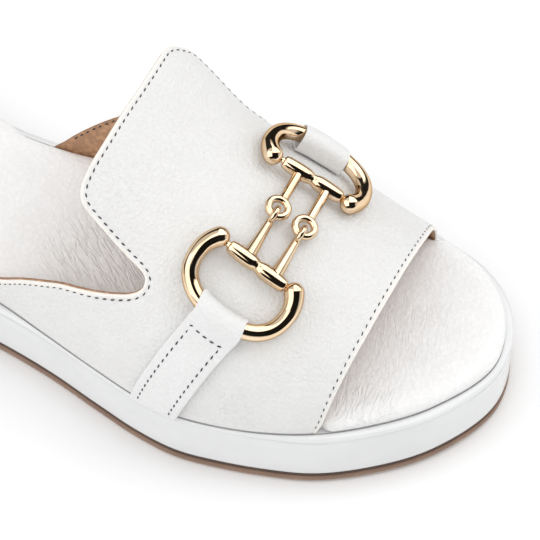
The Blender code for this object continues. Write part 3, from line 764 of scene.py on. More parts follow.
def dents(x, y, rows):
    # soft troughs, each with a low ridge along it
    total = np.zeros_like(x)
    for cx, cy, length, width, depth, turn in zip(*rows.values()):
        a = math.radians(turn)
        along = (x - cx) * math.cos(a) + (y - cy) * math.sin(a)
        across = -(x - cx) * math.sin(a) + (y - cy) * math.cos(a)
        fade = np.exp(-(along / (length / 2)) ** 4)
        total -= depth * fade * np.exp(-(across / width) ** 2)
        total += 0.4 * depth * fade * np.exp(-((across - 2 * width) / width) ** 2)
    return total


def makeFootbed():
    count = footbed["columns"]
    base = soleRing(count, 0.0)
    inset = bedInset(base[:, 0])
    rings = []
    for up in 1 - (1 - np.linspace(0, 1, footbed["sideRows"])) ** 1.6:
        ring = soleRing(count, -inset - follow(bedShoulder, "back", up, "up"))
        x, y = ring.T
        rings.append(np.column_stack([ring, seat(x) + up * (bedTop(x, y, 0.0) - seat(x))]))
    rim = rings[-1][:, :2]
    half = count // 2
    share = np.abs((np.arange(count) + half) % count - half) / half
    heel, toe = footbed["spine"]
    spineX = heel + (toe - heel) * share
    spine = np.column_stack([spineX, (seamY(spineX, False) + seamY(spineX, True)) / 2])
    for inward in 1 - (1 - np.linspace(0, 1, footbed["topRows"])[1:]) ** 1.15:
        ring = rim * (1 - inward * 0.995) + spine * inward * 0.995
        x, y = ring.T
        rings.append(np.column_stack([ring, bedTop(x, y, inward) + dents(x, y, bedDents)]))
    faces = gridFaces(len(rings), count) + lidFaces(count, flip=True)
    faces += lidFaces(count, (len(rings) - 1) * count)
    bed = meshPiece("footbed_padded", np.vstack(rings), faces)
    finishPiece(bed, bedLeather, "footbed_leather", "footbed")


makeFootbed()
print("footbed made")


# the upper: leather and lining cut from flat patterns and laid over the last
pattern = dict(stations=np.linspace(96, 236, 71), turns=np.linspace(0, 1, 401), breadth=130.0)


def patternTables():
    stations, turns = pattern["stations"], pattern["turns"]
    girths = (1 - np.cos(math.pi * turns)) / 2
    shares, back = [], []
    for x in stations:
        walked = walkedAlong(lastPoint(np.full_like(girths, x), girths))
        shares.append(walked / walked[-1])
        back.append(np.interp(turns, shares[-1], turns))
    return np.array(shares), np.array(back)


shareTable, turnTable = patternTables()


def lookUp(values, x, column):
    stations = pattern["stations"]
    i = np.clip((x - stations[0]) / (stations[1] - stations[0]), 0, len(stations) - 1.001)
    j = np.clip(column, 0, 1) * (values.shape[1] - 1)
    j = np.minimum(j, values.shape[1] - 1.001)
    i0, j0 = i.astype(int), j.astype(int)
    fi, fj = i - i0, j - j0
    return ((values[i0, j0] * (1 - fj) + values[i0, j0 + 1] * fj) * (1 - fi)
            + (values[i0 + 1, j0] * (1 - fj) + values[i0 + 1, j0 + 1] * fj) * fi)


def toPattern(x, girth):
    turn = np.arccos(np.clip(1 - 2 * girth, -1, 1)) / math.pi
    return np.column_stack([x, lookUp(shareTable, x, turn) * pattern["breadth"]])


def fromPattern(flat):
    turn = lookUp(turnTable, flat[:, 0], flat[:, 1] / pattern["breadth"])
    return flat[:, 0], (1 - np.cos(math.pi * turn)) / 2


def edgeRun(edge, spacing):
    # even steps along one free edge of the upper, from the outer seam to the inner seam
    girth = np.linspace(0, 1, 6000)
    x = follow(edge, "x", girth, "girth")
    walked = walkedAlong(lastPoint(x, girth))
    marks = np.linspace(0, walked[-1], int(walked[-1] / spacing) + 1)
    girth = np.interp(marks, walked, girth)
    return follow(edge, "x", girth, "girth"), girth


def upperOutline(spacing):
    bx, bg = edgeRun(backEdge, spacing)
    fx, fg = edgeRun(frontEdge, spacing)
    inner, outer = (np.linspace(a, b, int(abs(b - a) / spacing) + 1)[1:-1]
                    for a, b in ((bx[-1], fx[-1]), (fx[0], bx[0])))
    x = np.concatenate([bx, inner, fx[::-1], outer])
    girth = np.concatenate([bg, np.ones(len(inner)), fg[::-1], np.zeros(len(outer))])
    free = np.concatenate([np.full(len(bx), 1), np.zeros(len(inner)), np.full(len(fx), 2),
                           np.zeros(len(outer))])
    return x, girth, free


def pushed(flat, distance):
    # the pattern's outline moved inwards
    along = np.roll(flat, -1, axis=0) - np.roll(flat, 1, axis=0)
    along /= np.maximum(np.linalg.norm(along, axis=1), 1e-9)[:, None]
    inward = np.column_stack([along[:, 1], -along[:, 0]])
    area = np.sum(flat[:, 0] * np.roll(flat[:, 1], -1) - np.roll(flat[:, 0], -1) * flat[:, 1])
    return flat + np.asarray(distance).reshape(-1, 1) * inward * (-1 if area > 0 else 1)


def insideOf(points, outline):
    x, y = points.T
    within = np.zeros(len(points), bool)
    for (ax, ay), (bx, by) in zip(outline, np.roll(outline, -1, axis=0)):
        if ay != by:
            within ^= ((ay > y) != (by > y)) & (x < (bx - ax) * (y - ay) / (by - ay) + ax)
    return within


def treeOf(points):
    tree = KDTree(len(points))
    for i, p in enumerate(points):
        tree.insert(p, i)
    tree.balance()
    return tree


def nearest(tree, points):
    return np.array([tree.find(p)[2] for p in points])


def cutSheet(outline, rings, spacing):
    # triangles over a pattern piece, with closer points along its edge; the outline comes first
    flat = toPattern(*outline[:2])
    edgeTree = treeOf(np.column_stack([flat, np.zeros(len(flat))]))
    kept = [flat]
    for distance in rings:
        ring = pushed(flat, distance)[::1 if distance < 1.2 else 2]
        away = nearest(edgeTree, np.column_stack([ring, np.zeros(len(ring))]))
        kept.append(ring[(away > 0.92 * distance) & insideOf(ring, flat)])
    low, high = flat.min(axis=0), flat.max(axis=0)
    xs = np.arange(low[0], high[0], spacing)
    ys = np.arange(low[1], high[1], spacing * 0.9)
    grid = np.array([(x + (spacing / 2 if k % 2 else 0), y) for k, y in enumerate(ys)
                     for x in xs])
    grid = grid[insideOf(grid, flat)]
    away = nearest(edgeTree, np.column_stack([grid, np.zeros(len(grid))]))
    kept.append(grid[away > rings[-1] + spacing * 0.6])
    points = np.vstack(kept)
    edges = [(i, (i + 1) % len(flat)) for i in range(len(flat))]
    made = delaunay_2d_cdt([Vector(p) for p in points], edges, [], 1, 1e-4)
    order = np.array([row[0] if row else -1 for row in made[3]])
    x, girth = fromPattern(np.array([tuple(v) for v in made[0]]))
    onEdge = (order >= 0) & (order < len(flat))
    x[onEdge], girth[onEdge] = outline[0][order[onEdge]], outline[1][order[onEdge]]
    return x, girth, onEdge, [tuple(face) for face in made[2]]


def roll(distance, radius):
    # how far a rounded edge drops below its flat side
    t = np.clip(1 - distance / radius, 0, 1)
    return radius * (1 - np.sqrt(1 - t * t))


def cutLeather(outline, sheet):
    # a cut piece, its places on the last, how far each lies from the whole outline and from the
    # free edges, and how far the rounded edge drops there
    cut = cutSheet(outline, sheet["rings"], sheet["spacing"])
    x, girth, onEdge, _ = cut
    places, rim = lastPoint(x, girth), lastPoint(outline[0], outline[1])
    away, awayFree = (nearest(treeOf(part), places) for part in (rim, rim[outline[2] > 0]))
    drop = roll(away, sheet["edge"])
    drop[onEdge] = sheet["edge"]
    return cut, places, away, awayFree, drop


leatherSheet = dict(thick=1.0, edge=0.5, spacing=0.85, edgeSpacing=0.5,
                    rings=(0.08, 0.2, 0.36, 0.55, 0.85, 1.25, 1.7, 2.1, 2.45, 2.8, 3.15, 3.6, 4.2),
                    stitchIn=1.5, frontLess=0.15, quarterLess=0.4,
                    channel=0.16, channelWidth=0.42, puff=0.10, puffIn=0.95, puffWidth=0.6,
                    calm=(0.3, 2.0), halfway=195, rolledWidth=0.8)
liningSheet = dict(thick=0.45, edge=0.22, spacing=1.7, edgeSpacing=0.8,
                   rings=(0.1, 0.28, 0.7, 1.4), below=1.02, out=0.18, rolledWidth=0.18,
                   stitchOut=0.5, tongue=((0.27, 0.285), (0.775, 0.76)))

# soft troughs on the upper: both ends as (x, girth), width and depth in millimetres
upperTroughs = [((152, 0.20), (170, 0.13), 5.0, 0.22), ((168, 0.17), (182, 0.06), 3.4, 0.14),
                ((196, 0.10), (208, 0.03), 2.2, 0.16), ((200, 0.14), (212, 0.07), 3.0, 0.14),
                ((192, 0.03), (204, 0.012), 1.4, 0.12), ((150, 0.36), (158, 0.30), 4.0, 0.12),
                ((160, 0.45), (164, 0.62), 6.0, 0.12), ((205, 0.40), (212, 0.22), 4.0, 0.10),
                ((206, 0.85), (214, 0.95), 3.0, 0.12), ((166, 0.84), (176, 0.93), 3.6, 0.16)]


def upperRelief(places):
    total = np.zeros(len(places))
    for start, end, width, depth in upperTroughs:
        a, b = (lastPoint(np.array([p[0]], float), np.array([p[1]], float))[0]
                for p in (start, end))
        span = b - a
        share = np.clip(((places - a) @ span) / (span @ span), 0, 1)
        away = np.linalg.norm(places - (a + share[:, None] * span), axis=1)
        fade = np.sin(math.pi * np.clip(share, 0.04, 0.96)) ** 0.7
        total -= depth * fade * np.exp(-(away / width) ** 2)
    return total


def sheetShell(name, cut, top, bottom):
    # two skins that share the outline's points
    x, girth, onEdge, faces = cut
    upper, lower = surfacePlace(x, girth, top), surfacePlace(x, girth, bottom)
    for skin in (upper, lower):
        skin[:, 2] = np.maximum(skin[:, 2], seat(skin[:, 0]) - 0.05)
    below = np.full(len(x), -1)
    below[onEdge] = np.nonzero(onEdge)[0]
    free = np.nonzero(~onEdge)[0]
    below[free] = len(x) + np.arange(len(free))
    rest = [tuple(int(below[v]) for v in face[::-1]) for face in faces]
    return meshPiece(name, np.vstack([upper, lower[free]]), faces + rest)


def markEdge(piece, away, onEdge, width):
    # how near each point of both skins is to a free edge, for the rolled band there
    both = np.concatenate([away, away[~onEdge]])
    markPoints(piece, "rolledEdge", np.exp(-(both / width) ** 2))


def stitchInset(girth, edge):
    # how far in the seam runs from a free edge, 1 the back and 2 the front: closest on the quarters
    side = np.minimum(girth, 1 - girth)
    less = np.where(edge == 1, leatherSheet["quarterLess"] * ease(side, 0.17, 0.1),
                    leatherSheet["frontLess"])
    return leatherSheet["stitchIn"] - less


def makeUpperLeather():
    sheet = leatherSheet
    cut, places, away, awayFree, drop = cutLeather(upperOutline(sheet["edgeSpacing"]), sheet)
    x, girth, onEdge, _ = cut
    inset = stitchInset(girth, np.where(x < sheet["halfway"], 1, 2))
    channel = sheet["channel"] * np.exp(-((awayFree - inset) / sheet["channelWidth"]) ** 2)
    puff = sheet["puff"] * np.exp(-((awayFree - sheet["puffIn"]) / sheet["puffWidth"]) ** 2)
    top = (-drop - channel + puff * ease(away, 0.0, sheet["puffWidth"])
           + upperRelief(places) * ease(away, *sheet["calm"]))
    piece = sheetShell("upper_leather", cut, top, drop - sheet["thick"])
    markEdge(piece, awayFree, onEdge, sheet["rolledWidth"])
    finishPiece(piece, upperLeather, "upper_leather", "upper")


def makeLining():
    sheet = liningSheet
    x, girth, free = upperOutline(sheet["edgeSpacing"])
    # the lining stands out past the leather along the quarters and the notches
    onTongue = math.prod(ease(girth, *side) for side in sheet["tongue"])
    reach = sheet["out"] * (free == 1) * (1 - onTongue)
    grown = (free == 1) & (reach > 0.01)
    moved = fromPattern(pushed(toPattern(x, girth), -reach))
    x, girth = (np.where(grown, new, old) for new, old in zip(moved, (x, girth)))
    cut, _, away, _, drop = cutLeather((x, girth, free), sheet)
    piece = sheetShell("upper_lining", cut, -sheet["below"] - drop,
                       -sheet["below"] - sheet["thick"] + drop)
    markEdge(piece, away, cut[2], sheet["rolledWidth"])
    finishPiece(piece, liningLeather, "upper_leather", "upper")


makeUpperLeather()
makeLining()
print("upper made")

# stitches
stitch = dict(pitch=2.25, long=1.25, wide=0.46, tall=0.42, slant=9, look=0.3, step=0.4,
              offLine=0.12, above=0.06)


def makeStitchPattern():
    bpy.ops.object.select_all(action="DESELECT")
    bpy.ops.mesh.primitive_uv_sphere_add(segments=6, ring_count=6, radius=0.0005)
    piece = bpy.context.object
    bpy.ops.object.mode_set(mode="EDIT")
    bpy.ops.mesh.select_all(action="SELECT")
    bpy.ops.transform.rotate(value=math.pi / 2, orient_axis="Y", center_override=(0, 0, 0))
    bpy.ops.transform.resize(value=(stitch["long"], stitch["wide"], stitch["tall"]))
    bpy.ops.object.mode_set(mode="OBJECT")
    return piece


stitchPattern = makeStitchPattern()


def sewRow(name, path, normals, pitch=stitch["pitch"]):
    # copies of the one stitch along a path over the leather
    walked = walkedAlong(path)
    count = round(walked[-1] / pitch)
    marks = (np.arange(count) + 0.5) * walked[-1] / count
    spots, ups = sampled(path, walked, marks), sampled(normals, walked, marks)
    ahead, behind = (sampled(path, walked, marks + way * stitch["look"]) for way in (1, -1))
    copies = []
    for spot, up, way in zip(inModel(spots), ups, ahead - behind):
        up, way = Vector(up).normalized(), Vector(way).normalized()
        side = up.cross(way).normalized()
        way = Matrix.Rotation(math.radians(stitch["slant"]), 3, up) @ side.cross(up)
        place = Matrix((way, up.cross(way), up)).transposed().to_4x4()
        place.translation = Vector(spot)
        copy = stitchPattern.copy()
        copy.data = stitchPattern.data.copy()
        copy.data.transform(place)
        bpy.context.collection.objects.link(copy)
        copies.append(copy)
    pickOnly(*copies)
    bpy.ops.object.join()
    row = bpy.context.object
    row.name = row.data.name = name
    finishPiece(row, threadMaterial, "upper_leather")


def seamPath(kind, start, end, height, less=0.0):
    # a line a set way in from one free edge between two girths, and the normals under it
    outline = upperOutline(stitch["step"])
    flat = toPattern(outline[0], outline[1])
    whole = treeOf(lastPoint(outline[0], outline[1])[outline[2] > 0])
    inwards = stitchInset(outline[1], kind) - less
    chosen = (outline[2] == kind) & (outline[1] >= start) & (outline[1] <= end)
    line = pushed(flat, inwards)[chosen]
    along = pushed(flat, inwards + 1.0)[chosen] - line
    inwards = inwards[chosen]
    for _ in range(3):
        x, girth = fromPattern(line)
        away = nearest(whole, lastPoint(x, girth))
        line = line + along * np.clip(inwards - away, -0.6, 0.6)[:, None]
    x, girth = fromPattern(line)
    away = nearest(whole, lastPoint(x, girth))
    good = np.abs(away - inwards) < stitch["offLine"]
    x, girth = fromPattern(softened(line[good], 4))
    return surfacePlace(x, girth, np.full(len(x), height)), lastNormal(x, girth)


def makeUpperStitches():
    onTop = stitch["above"] - leatherSheet["channel"]
    sewRow("stitches_back_edge", *seamPath(1, 0.012, 0.988, onTop))
    sewRow("stitches_front_edge", *seamPath(2, 0.02, 0.98, onTop))
    for name, start, end in (("outer", 0.012, 0.2), ("inner", 0.8, 0.988)):
        under = -liningSheet["below"] - liningSheet["thick"]
        path, normals = seamPath(1, start, end, under, liningSheet["stitchOut"])
        sewRow(f"stitches_{name}_lining", path, -normals)


makeUpperStitches()
print("upper sewn")

# the snaffle ornament
halves = {
    "outer": dict(side=-1, bar=(191.3, -16.6, 57.8), along=(0.927, -0.045, -0.373),
                  facing=(0.33, -0.332, 0.884), shanks=1.0, foot=176.2, loop=188.0, turnIn=-1.5,
                  waist=0.94),
    "inner": dict(side=1, bar=(190.9, 14.4, 57.5), along=(0.93, 0.05, -0.36),
                  facing=(0.322, 0.418, 0.85), shanks=0.4, foot=174.0, loop=185.6, turnIn=0.9,
                  waist=1.0)}
ornament = dict(tube=2.2, knob=2.65, halfWidth=14.0, depth=11.0, waist=5.4, shift=-0.3,
                fullness=2.4, sweep=121, shankSpacing=4.25, outerShank=13.9, eyePlay=0.1,
                linkHeight=3.8, linkShift=0.7, shanks=dict(outer=(1.75, 1.05), inner=(1.3, 1.15)),
                eyes=dict(outer=(2.1, 2.25, 0.8), inner=(2.6, 2.6, 1.0)), tipPower=1.1,
                knobPower=6, ringSteps=241, ringSpacing=0.35, shankSteps=30, eyeSteps=48,
                capTurns=(12, 24, 36, 48, 59, 69, 78, 85, 89))


def ringFrame(half):
    # middle of the bar, and the ring's axes: along the bar, from its far end to the bar, outward
    facing = Vector(half["facing"]).normalized()
    along = Vector(half["along"])
    along = (along - facing * along.dot(facing)).normalized()
    return Vector(half["bar"]), along, facing.cross(along) * -half["side"], facing


def ringCurve(turn):
    angle = math.radians(ornament["sweep"]) * turn
    power = 2 / ornament["fullness"]
    along = math.copysign(abs(math.sin(angle)) ** power, angle) * ornament["halfWidth"]
    depth = math.copysign(abs(math.cos(angle)) ** power, math.cos(angle)) * ornament["depth"]
    if math.cos(angle) < 0:
        reach = math.sin(abs(angle)) ** ornament["tipPower"]
        along = math.copysign(ornament["halfWidth"] * reach, angle)
        depth = ornament["depth"] * math.cos(angle)
    return along + ornament["shift"], -ornament["waist"] - depth


def evenCurve(points, spacing):
    points = np.array([tuple(p) for p in points], float)
    walked = walkedAlong(points)
    marks = np.linspace(0, walked[-1], int(walked[-1] / spacing) + 1)
    return sampled(points, walked, marks), marks / walked[-1]


def shankRoot(key, end):
    bar, along, _, _ = ringFrame(halves[key])
    return bar + along * (end * ornament["shankSpacing"] + halves[key]["shanks"]), along


def linkPlace(end):
    # middle of the outer half's eye over the ridge, and the way from there to the inner half
    root, along = shankRoot("outer", end)
    farRoot, _ = shankRoot("inner", end)
    span = farRoot - root
    level = root.lerp(farRoot, ornament["outerShank"] / span.length)
    ridge = surfacePlace(level.x, 0.5, ornament["linkHeight"])
    small = Vector((level.x, level.y, float(ridge[2]))) + along * ornament["linkShift"]
    return small, span.normalized()


barLobes = table("along radius", [
    (0.0, 1.52), (0.3, 1.58), (0.8, 1.78), (1.6, 2.0), (2.6, 2.08), (3.8, 2.1), (5.2, 2.07),
    (6.6, 1.99), (7.7, 1.87), (8.3, 1.75), (8.65, 1.6), (8.8, 1.4), (8.9, 0.95), (9.4, 0.8),
    (11.2, 0.9)])


def makeRing(key):
    bar, along, inward, _ = ringFrame(halves[key])
    turns = np.linspace(-1, 1, ornament["ringSteps"])
    middle = [bar + along * a + inward * b for a, b in map(ringCurve, turns)]
    centres, share = evenCurve(middle, ornament["ringSpacing"])
    swell = np.abs(share * 2 - 1) ** ornament["knobPower"]
    radii = ornament["tube"] + (ornament["knob"] - ornament["tube"]) * swell
    centres, radii = list(map(Vector, centres)), list(radii)
    for _ in range(2):
        ahead, radius, tip = (centres[-1] - centres[-2]).normalized(), radii[-1], centres[-1]
        for turn in np.radians(ornament["capTurns"]):
            centres.append(tip + ahead * radius * math.sin(turn))
            radii.append(radius * math.cos(turn))
        centres.reverse()
        radii.reverse()
    return roundBar("ring", centres, radii)


def makeCrossbar(key):
    bar, along, _, _ = ringFrame(halves[key])
    fine = np.unique(np.concatenate([np.linspace(0, 8.6, 60), barLobes["along"]]))
    radius = follow(barLobes, "radius", fine, "along")
    stations = np.concatenate([-fine[:0:-1], fine])
    radii = np.concatenate([radius[:0:-1], radius])
    return roundBar("bar", [bar + along * a for a in stations], radii)


def makeShank(key, end):
    root, along = shankRoot(key, end)
    middle, away = linkPlace(end)
    long, wide, wire = ornament["eyes"][key]
    if key == "outer":
        flat = away.cross(along).normalized()
    else:
        middle, flat = middle + away * (long + ornament["eyePlay"]), along
    tip = middle - (middle - root).normalized() * long
    share = np.linspace(0, 1, ornament["shankSteps"])
    thick, thin = ornament["shanks"][key]
    shank = roundBar("shank", [root.lerp(tip, t) for t in share], thick + (thin - thick) * share)
    path = [middle + away * long * math.cos(a) + flat * wide * math.sin(a)
            for a in np.linspace(0, 2 * math.pi, ornament["eyeSteps"] + 1)[:-1]]
    return [shank, roundBar("eye", path, [wire] * len(path), closed=True, smoothness=5)]


def makeBit(key):
    parts = [makeRing(key), makeCrossbar(key)]
    for end in (-1, 1):
        parts += makeShank(key, end)
    casting = parts[0]
    for other in parts[1:]:
        weld = casting.modifiers.new("weld", "BOOLEAN")
        weld.operation, weld.solver, weld.object = "UNION", "EXACT", other
        pickOnly(casting)
        bpy.ops.object.modifier_apply(modifier=weld.name)
        bpy.data.objects.remove(other, do_unlink=True)
    casting.name = casting.data.name = f"{key}_bit_gold"
    finishPiece(casting, goldPlate, "pale_gold", f"{key}_bit", angle=35)


for key in halves:
    makeBit(key)
print("ornament made")

# keeper straps
keeper = dict(width=13.5, thickness=2.0, ply=0.5, edge=0.42, across=27, along=150, play=0.28,
              straight=5.8, thinning=(7.2, 3.8), lifting=(9.0, 5.0), lift=0.5, footEnd=(0.0, 3.0),
              footThinned=0.5, stitchIn=2.3, stitchPitch=2.2, stitchLow=3.0, sewn=6.0,
              stitchLifting=(8.4, 5.0), stitchLift=0.8, loopGirth=0.277, lastGirth=0.36,
              ringTurns=0.62, firstGuess=34.0, slack=1.03, narrowing=(5.0, 0.5), tuck=0.93,
              tuckFlat=0.9, tuckCorner=(0.25, 0.3), backRun=(3.2, 1.0), endRound=(0.3, 0.7, 0.92))
loopInner = ornament["tube"] + keeper["play"]
loopOuter = loopInner + keeper["ply"]


def sideGirth(side, girth):
    return girth if side < 0 else 1 - girth


def keeperMapper(half):
    # from (along the strap, across it, height) to a point over the upper
    girths, side = np.linspace(0, keeper["lastGirth"], 120), half["side"]
    lean = (half["loop"] - half["foot"]) / keeper["loopGirth"]
    walked = walkedAlong(lastPoint(half["foot"] + lean * girths, sideGirth(side, girths)))

    def place(u, w, h):
        girth = np.interp(u, walked, girths)
        return surfacePlace(half["foot"] + lean * girth + w, sideGirth(side, girth), h)
    return place


def keeperSpot(place, point, guess):
    guess = np.array(guess, float)
    for _ in range(12):
        here = place(*guess)
        steps = np.stack([(place(*(guess + d)) - here) / 0.01 for d in np.eye(3) * 0.01], axis=1)
        guess = guess + np.linalg.solve(steps, point - here)
    return guess


def keeperLoop(key):
    # where the ring's tube passes through the strap, from edge to edge
    half = halves[key]
    place = keeperMapper(half)
    bar, along, inward, _ = ringFrame(half)
    rows, reach = [], keeper["ringTurns"]
    for turn in np.linspace(-reach, reach, 25):
        a, b = ringCurve(turn)
        point = np.array(bar + along * a + inward * b)
        rows.append(keeperSpot(place, point, (keeper["firstGuess"], a, loopOuter + shoe["gap"])))
    return place, np.array(rows)


def keeperEase(u, loopU, name):
    # from 0 to 1 between two distances short of the tube
    start, end = keeper[name]
    return ease(u, loopU - start, loopU - end)


def footThinned(u):
    return keeper["footThinned"] * (1 - ease(u, *keeper["footEnd"]))


def keeperPly(u, loopU):
    # thin where it folds round the tube, full where its two layers are sewn together
    full = keeper["thickness"] / 2 - 0.02
    return full + (keeper["ply"] - full) * keeperEase(u, loopU, "thinning")


def keeperLine(loopU, loopH, stretch):
    # middle line of the folded leather: up the strap, over the tube and back under it
    low, top, ply = shoe["gap"], shoe["gap"] + keeper["thickness"], keeper["ply"]
    radius = loopInner + ply / 2
    u = np.linspace(0.0, loopU - keeper["straight"], 20)
    height = (top - keeperPly(u, loopU) / 2 - footThinned(u)
              + keeper["lift"] * keeperEase(u, loopU, "lifting"))
    turn = np.radians(np.arange(120, -16, -8))
    over = np.column_stack([loopU + stretch * radius * np.cos(turn), loopH + radius * np.sin(turn)])
    under, front = low + ply / 2, loopU + stretch * radius * keeper["tuck"]
    down = [(front - keeper["tuckFlat"], under), (loopU, under)]
    if loopH - radius > under:
        cornerIn, cornerUp = keeper["tuckCorner"]
        down = [(front, loopH * 0.5 + under * 0.5), (front - cornerIn, under + cornerUp)] + down
    short, end = keeper["backRun"]
    back = np.linspace(loopU - short, end, 18)
    return np.vstack([np.column_stack([u, height]), over, down,
                      np.column_stack([back, low + keeperPly(back, loopU) / 2])])


def smoothLine(line, count):
    walked = walkedAlong(line)
    return softened(sampled(line, walked, np.linspace(0, walked[-1], count)), 3)


def makeKeeper(key):
    place, samples = keeperLoop(key)
    half, edge = keeper["width"] / 2, keeper["edge"]
    turnIn, narrow = halves[key]["turnIn"], halves[key]["waist"]
    turns = np.linspace(0, quarterTurn, 5)
    side = half - edge + edge * np.sin(turns)
    across = np.concatenate([-side[::-1], np.linspace(-half + edge, half - edge,
                                                      keeper["across"])[1:-1], side])
    thin = np.concatenate([np.cos(turns)[::-1], np.ones(keeper["across"] - 2), np.cos(turns)])
    count = keeper["along"]
    onRing = across * narrow + turnIn / 2
    loopU = np.interp(onRing, samples[:, 1], samples[:, 0])
    loopH = np.interp(onRing, samples[:, 1], samples[:, 2])
    slope = np.gradient(loopU, across + 1e-6 * np.arange(len(across)))
    coarse = np.linspace(-half, half, 9)
    stretch = np.interp(across, coarse, np.interp(coarse, across[4:-4], np.hypot(1, slope)[4:-4]))
    rings = []
    for w, u, h, wider, share in zip(across, loopU, loopH, keeper["slack"] * stretch, thin):
        line = smoothLine(keeperLine(u, h, wider), count)
        ahead = np.gradient(line, axis=0)
        ahead /= np.linalg.norm(ahead, axis=1)[:, None]
        out = np.column_stack([-ahead[:, 1], ahead[:, 0]])
        swell = keeperPly(line[:, 0], u) / 2 * max(share, 0.02)
        swell[:3] *= keeper["endRound"]
        swell[-3:] *= keeper["endRound"][::-1]
        skin = np.vstack([line + out * swell[:, None], (line - out * swell[:, None])[::-1]])
        waist = 1 - (1 - narrow) * keeperEase(skin[:, 0], u, "narrowing")
        slide = turnIn * ease(skin[:, 0], u - loopOuter, u + loopOuter)
        spots = place(skin[:, 0], w * waist + slide, skin[:, 1])
        spots[:, 2] = np.maximum(spots[:, 2], seat(spots[:, 0]) - 0.1)
        rings.append(spots)
    size = 2 * count
    faces = gridFaces(len(rings), size)
    for first, flip in ((0, False), ((len(rings) - 1) * size, True)):
        for i in range(count - 1):
            face = [first + i, first + i + 1, first + size - 2 - i, first + size - 1 - i]
            faces.append(face[::-1] if flip else face)
    piece = meshPiece(f"{key}_keeper", np.vstack(rings), faces)
    finishPiece(piece, keeperLeather, "upper_leather", f"{key}_strap")
    sewKeeper(key, place, loopU)


def sewKeeper(key, place, loopU):
    # a box of stitches open at its lower end, its top row set along the fold
    half, reach = keeper["width"] / 2, keeper["width"] / 2 - keeper["stitchIn"]
    edges = np.linspace(-half, half, len(loopU))
    over = np.linspace(-reach, reach, 20)
    top = np.interp(over, edges, loopU) - keeper["sewn"]
    low, rows = keeper["stitchLow"], 60
    line = np.vstack([np.column_stack([np.linspace(low, top[0], rows), np.full(rows, -reach)]),
                      np.column_stack([top, over])[1:-1],
                      np.column_stack([np.linspace(top[-1], low, rows), np.full(rows, reach)])])
    u, across = line.T
    height = (shoe["gap"] + keeper["thickness"] + 0.02 - footThinned(u)
              + keeper["stitchLift"] * keeperEase(u, np.interp(across, edges, loopU),
                                                  "stitchLifting"))
    path = place(u, across, height)
    sewRow(f"stitches_{key}_keeper", path, place(u, across, height + 1.0) - path,
           keeper["stitchPitch"])


for key in halves:
    makeKeeper(key)
bpy.data.objects.remove(stitchPattern, do_unlink=True)
print("keepers made")

# The metal mirrors a studio laid out on three axes: across, up and front, which points from the
# shoe to the dark end of the room. Each zone is (strength, softness, range across, up and front).
studio = dict(floor=(0.86, 0.86, 0.86), fill=0.90, walls=0.88, lit=(0.05, 0.0, 0.03),
              axes=((0.883, 0.470, 0.0), (-0.385, 0.723, 0.574), (0.269, -0.506, 0.819)))
zones = dict(darkEnd=(0.012, 0.05, (-0.60, 0.90), (-0.74, 0.44), (0.22, 1.2)),
             sideCard=(2.2, 0.03, (-0.90, -0.16), (-0.36, 0.62), (0.30, 1.2)),
             topCard=(2.3, 0.03, (-0.10, 1.2), (0.35, 1.2), (-0.12, 1.2)),
             darkRim=(0.02, 0.05, (-0.95, 1.2), (0.15, 1.2), (-0.92, -0.20)),
             leftRim=(0.03, 0.05, (-1.2, -0.05), (0.10, 1.2), (-0.90, 0.15)))


def makeFloor():
    bpy.ops.object.select_all(action="DESELECT")
    bpy.ops.mesh.primitive_grid_add(x_subdivisions=8, y_subdivisions=8, size=6,
                                    location=(0, 0, -0.0002))
    floor = bpy.context.object
    floor.name = "floor"
    material, tree, shader, place = newMaterial("pale floor", Roughness=0.8)
    paper = tree.noise(place, 30.0, 2.0)
    paint(tree, shader, paper, tuple(c * 0.99 for c in studio["floor"]), studio["floor"])
    floor.data.materials.append(material)


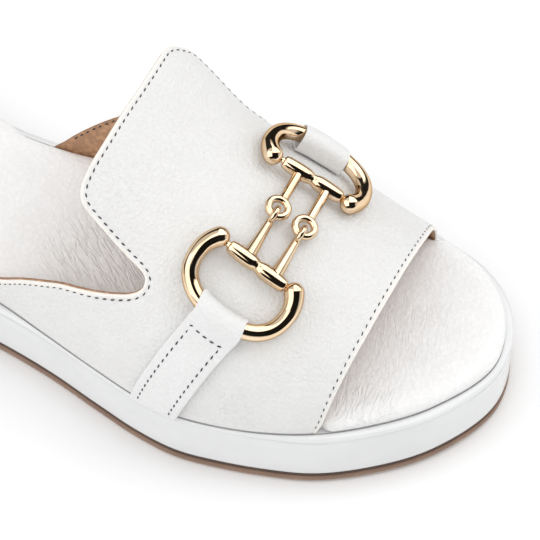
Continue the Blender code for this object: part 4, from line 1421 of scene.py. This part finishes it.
def addLight(name, place, size, power):
    # soft lamps light the leather; the metal mirrors the zones of the room instead
    bpy.ops.object.light_add(type="AREA", location=place)
    lamp = bpy.context.object
    lamp.name = name
    lamp.data.shape, lamp.data.size, lamp.data.size_y = "RECTANGLE", size[0], size[1]
    lamp.data.energy = power
    lamp.visible_glossy = False
    aim = Vector(studio["lit"]) - Vector(place)
    lamp.rotation_euler = aim.to_track_quat("-Z", "Y").to_euler()


def makeWorld():
    world = bpy.data.worlds.new("studio")
    bpy.context.scene.world = world
    world.use_nodes = True
    tree = Tree(world.node_tree)
    back = world.node_tree.nodes["Background"]
    back.inputs[0].default_value = (1, 1, 1, 1)
    back.inputs[1].default_value = studio["fill"]
    way = tree.node("ShaderNodeTexCoord").outputs["Generated"]
    leans = [tree.vector("DOT_PRODUCT", way, axis, result="Value") for axis in studio["axes"]]
    mirrored = studio["walls"]
    for strength, soft, *ranges in zones.values():
        inside = 1.0
        for lean, (low, high) in zip(leans, ranges):
            for edge, rise in ((low, (0.0, 1.0)), (high, (1.0, 0.0))):
                inside = tree.times(tree.ramp(lean, edge - soft, edge + soft, *rise), inside)
        change = tree.times(inside, tree.math("SUBTRACT", strength, mirrored))
        mirrored = tree.plus(change, mirrored)
    shine = tree.node("ShaderNodeBackground", Strength=mirrored)
    glossy = tree.node("ShaderNodeLightPath").outputs["Is Glossy Ray"]
    mix = tree.node("ShaderNodeMixShader", Fac=glossy)
    tree.feed(mix.inputs[1], back.outputs[0])
    tree.feed(mix.inputs[2], shine.outputs[0])
    tree.feed(world.node_tree.nodes["World Output"].inputs[0], mix.outputs[0])


makeFloor()
makeWorld()
for lamp in (("mainBox", (0.50, 0.42, 0.97), (0.8, 0.7), 2.9),
             ("frontBox", (0.25, -0.66, 1.10), (0.5, 0.5), 2.2),
             ("heelBox", (-0.62, -0.62, 0.62), (0.8, 0.9), 2.8),
             ("farBox", (0.80, 0.50, 0.50), (0.8, 0.6), 0.9)):
    addLight(*lamp)
bpy.context.scene.view_settings.view_transform = "Standard"
bpy.context.scene.view_settings.exposure = 0.0
print("studio made")
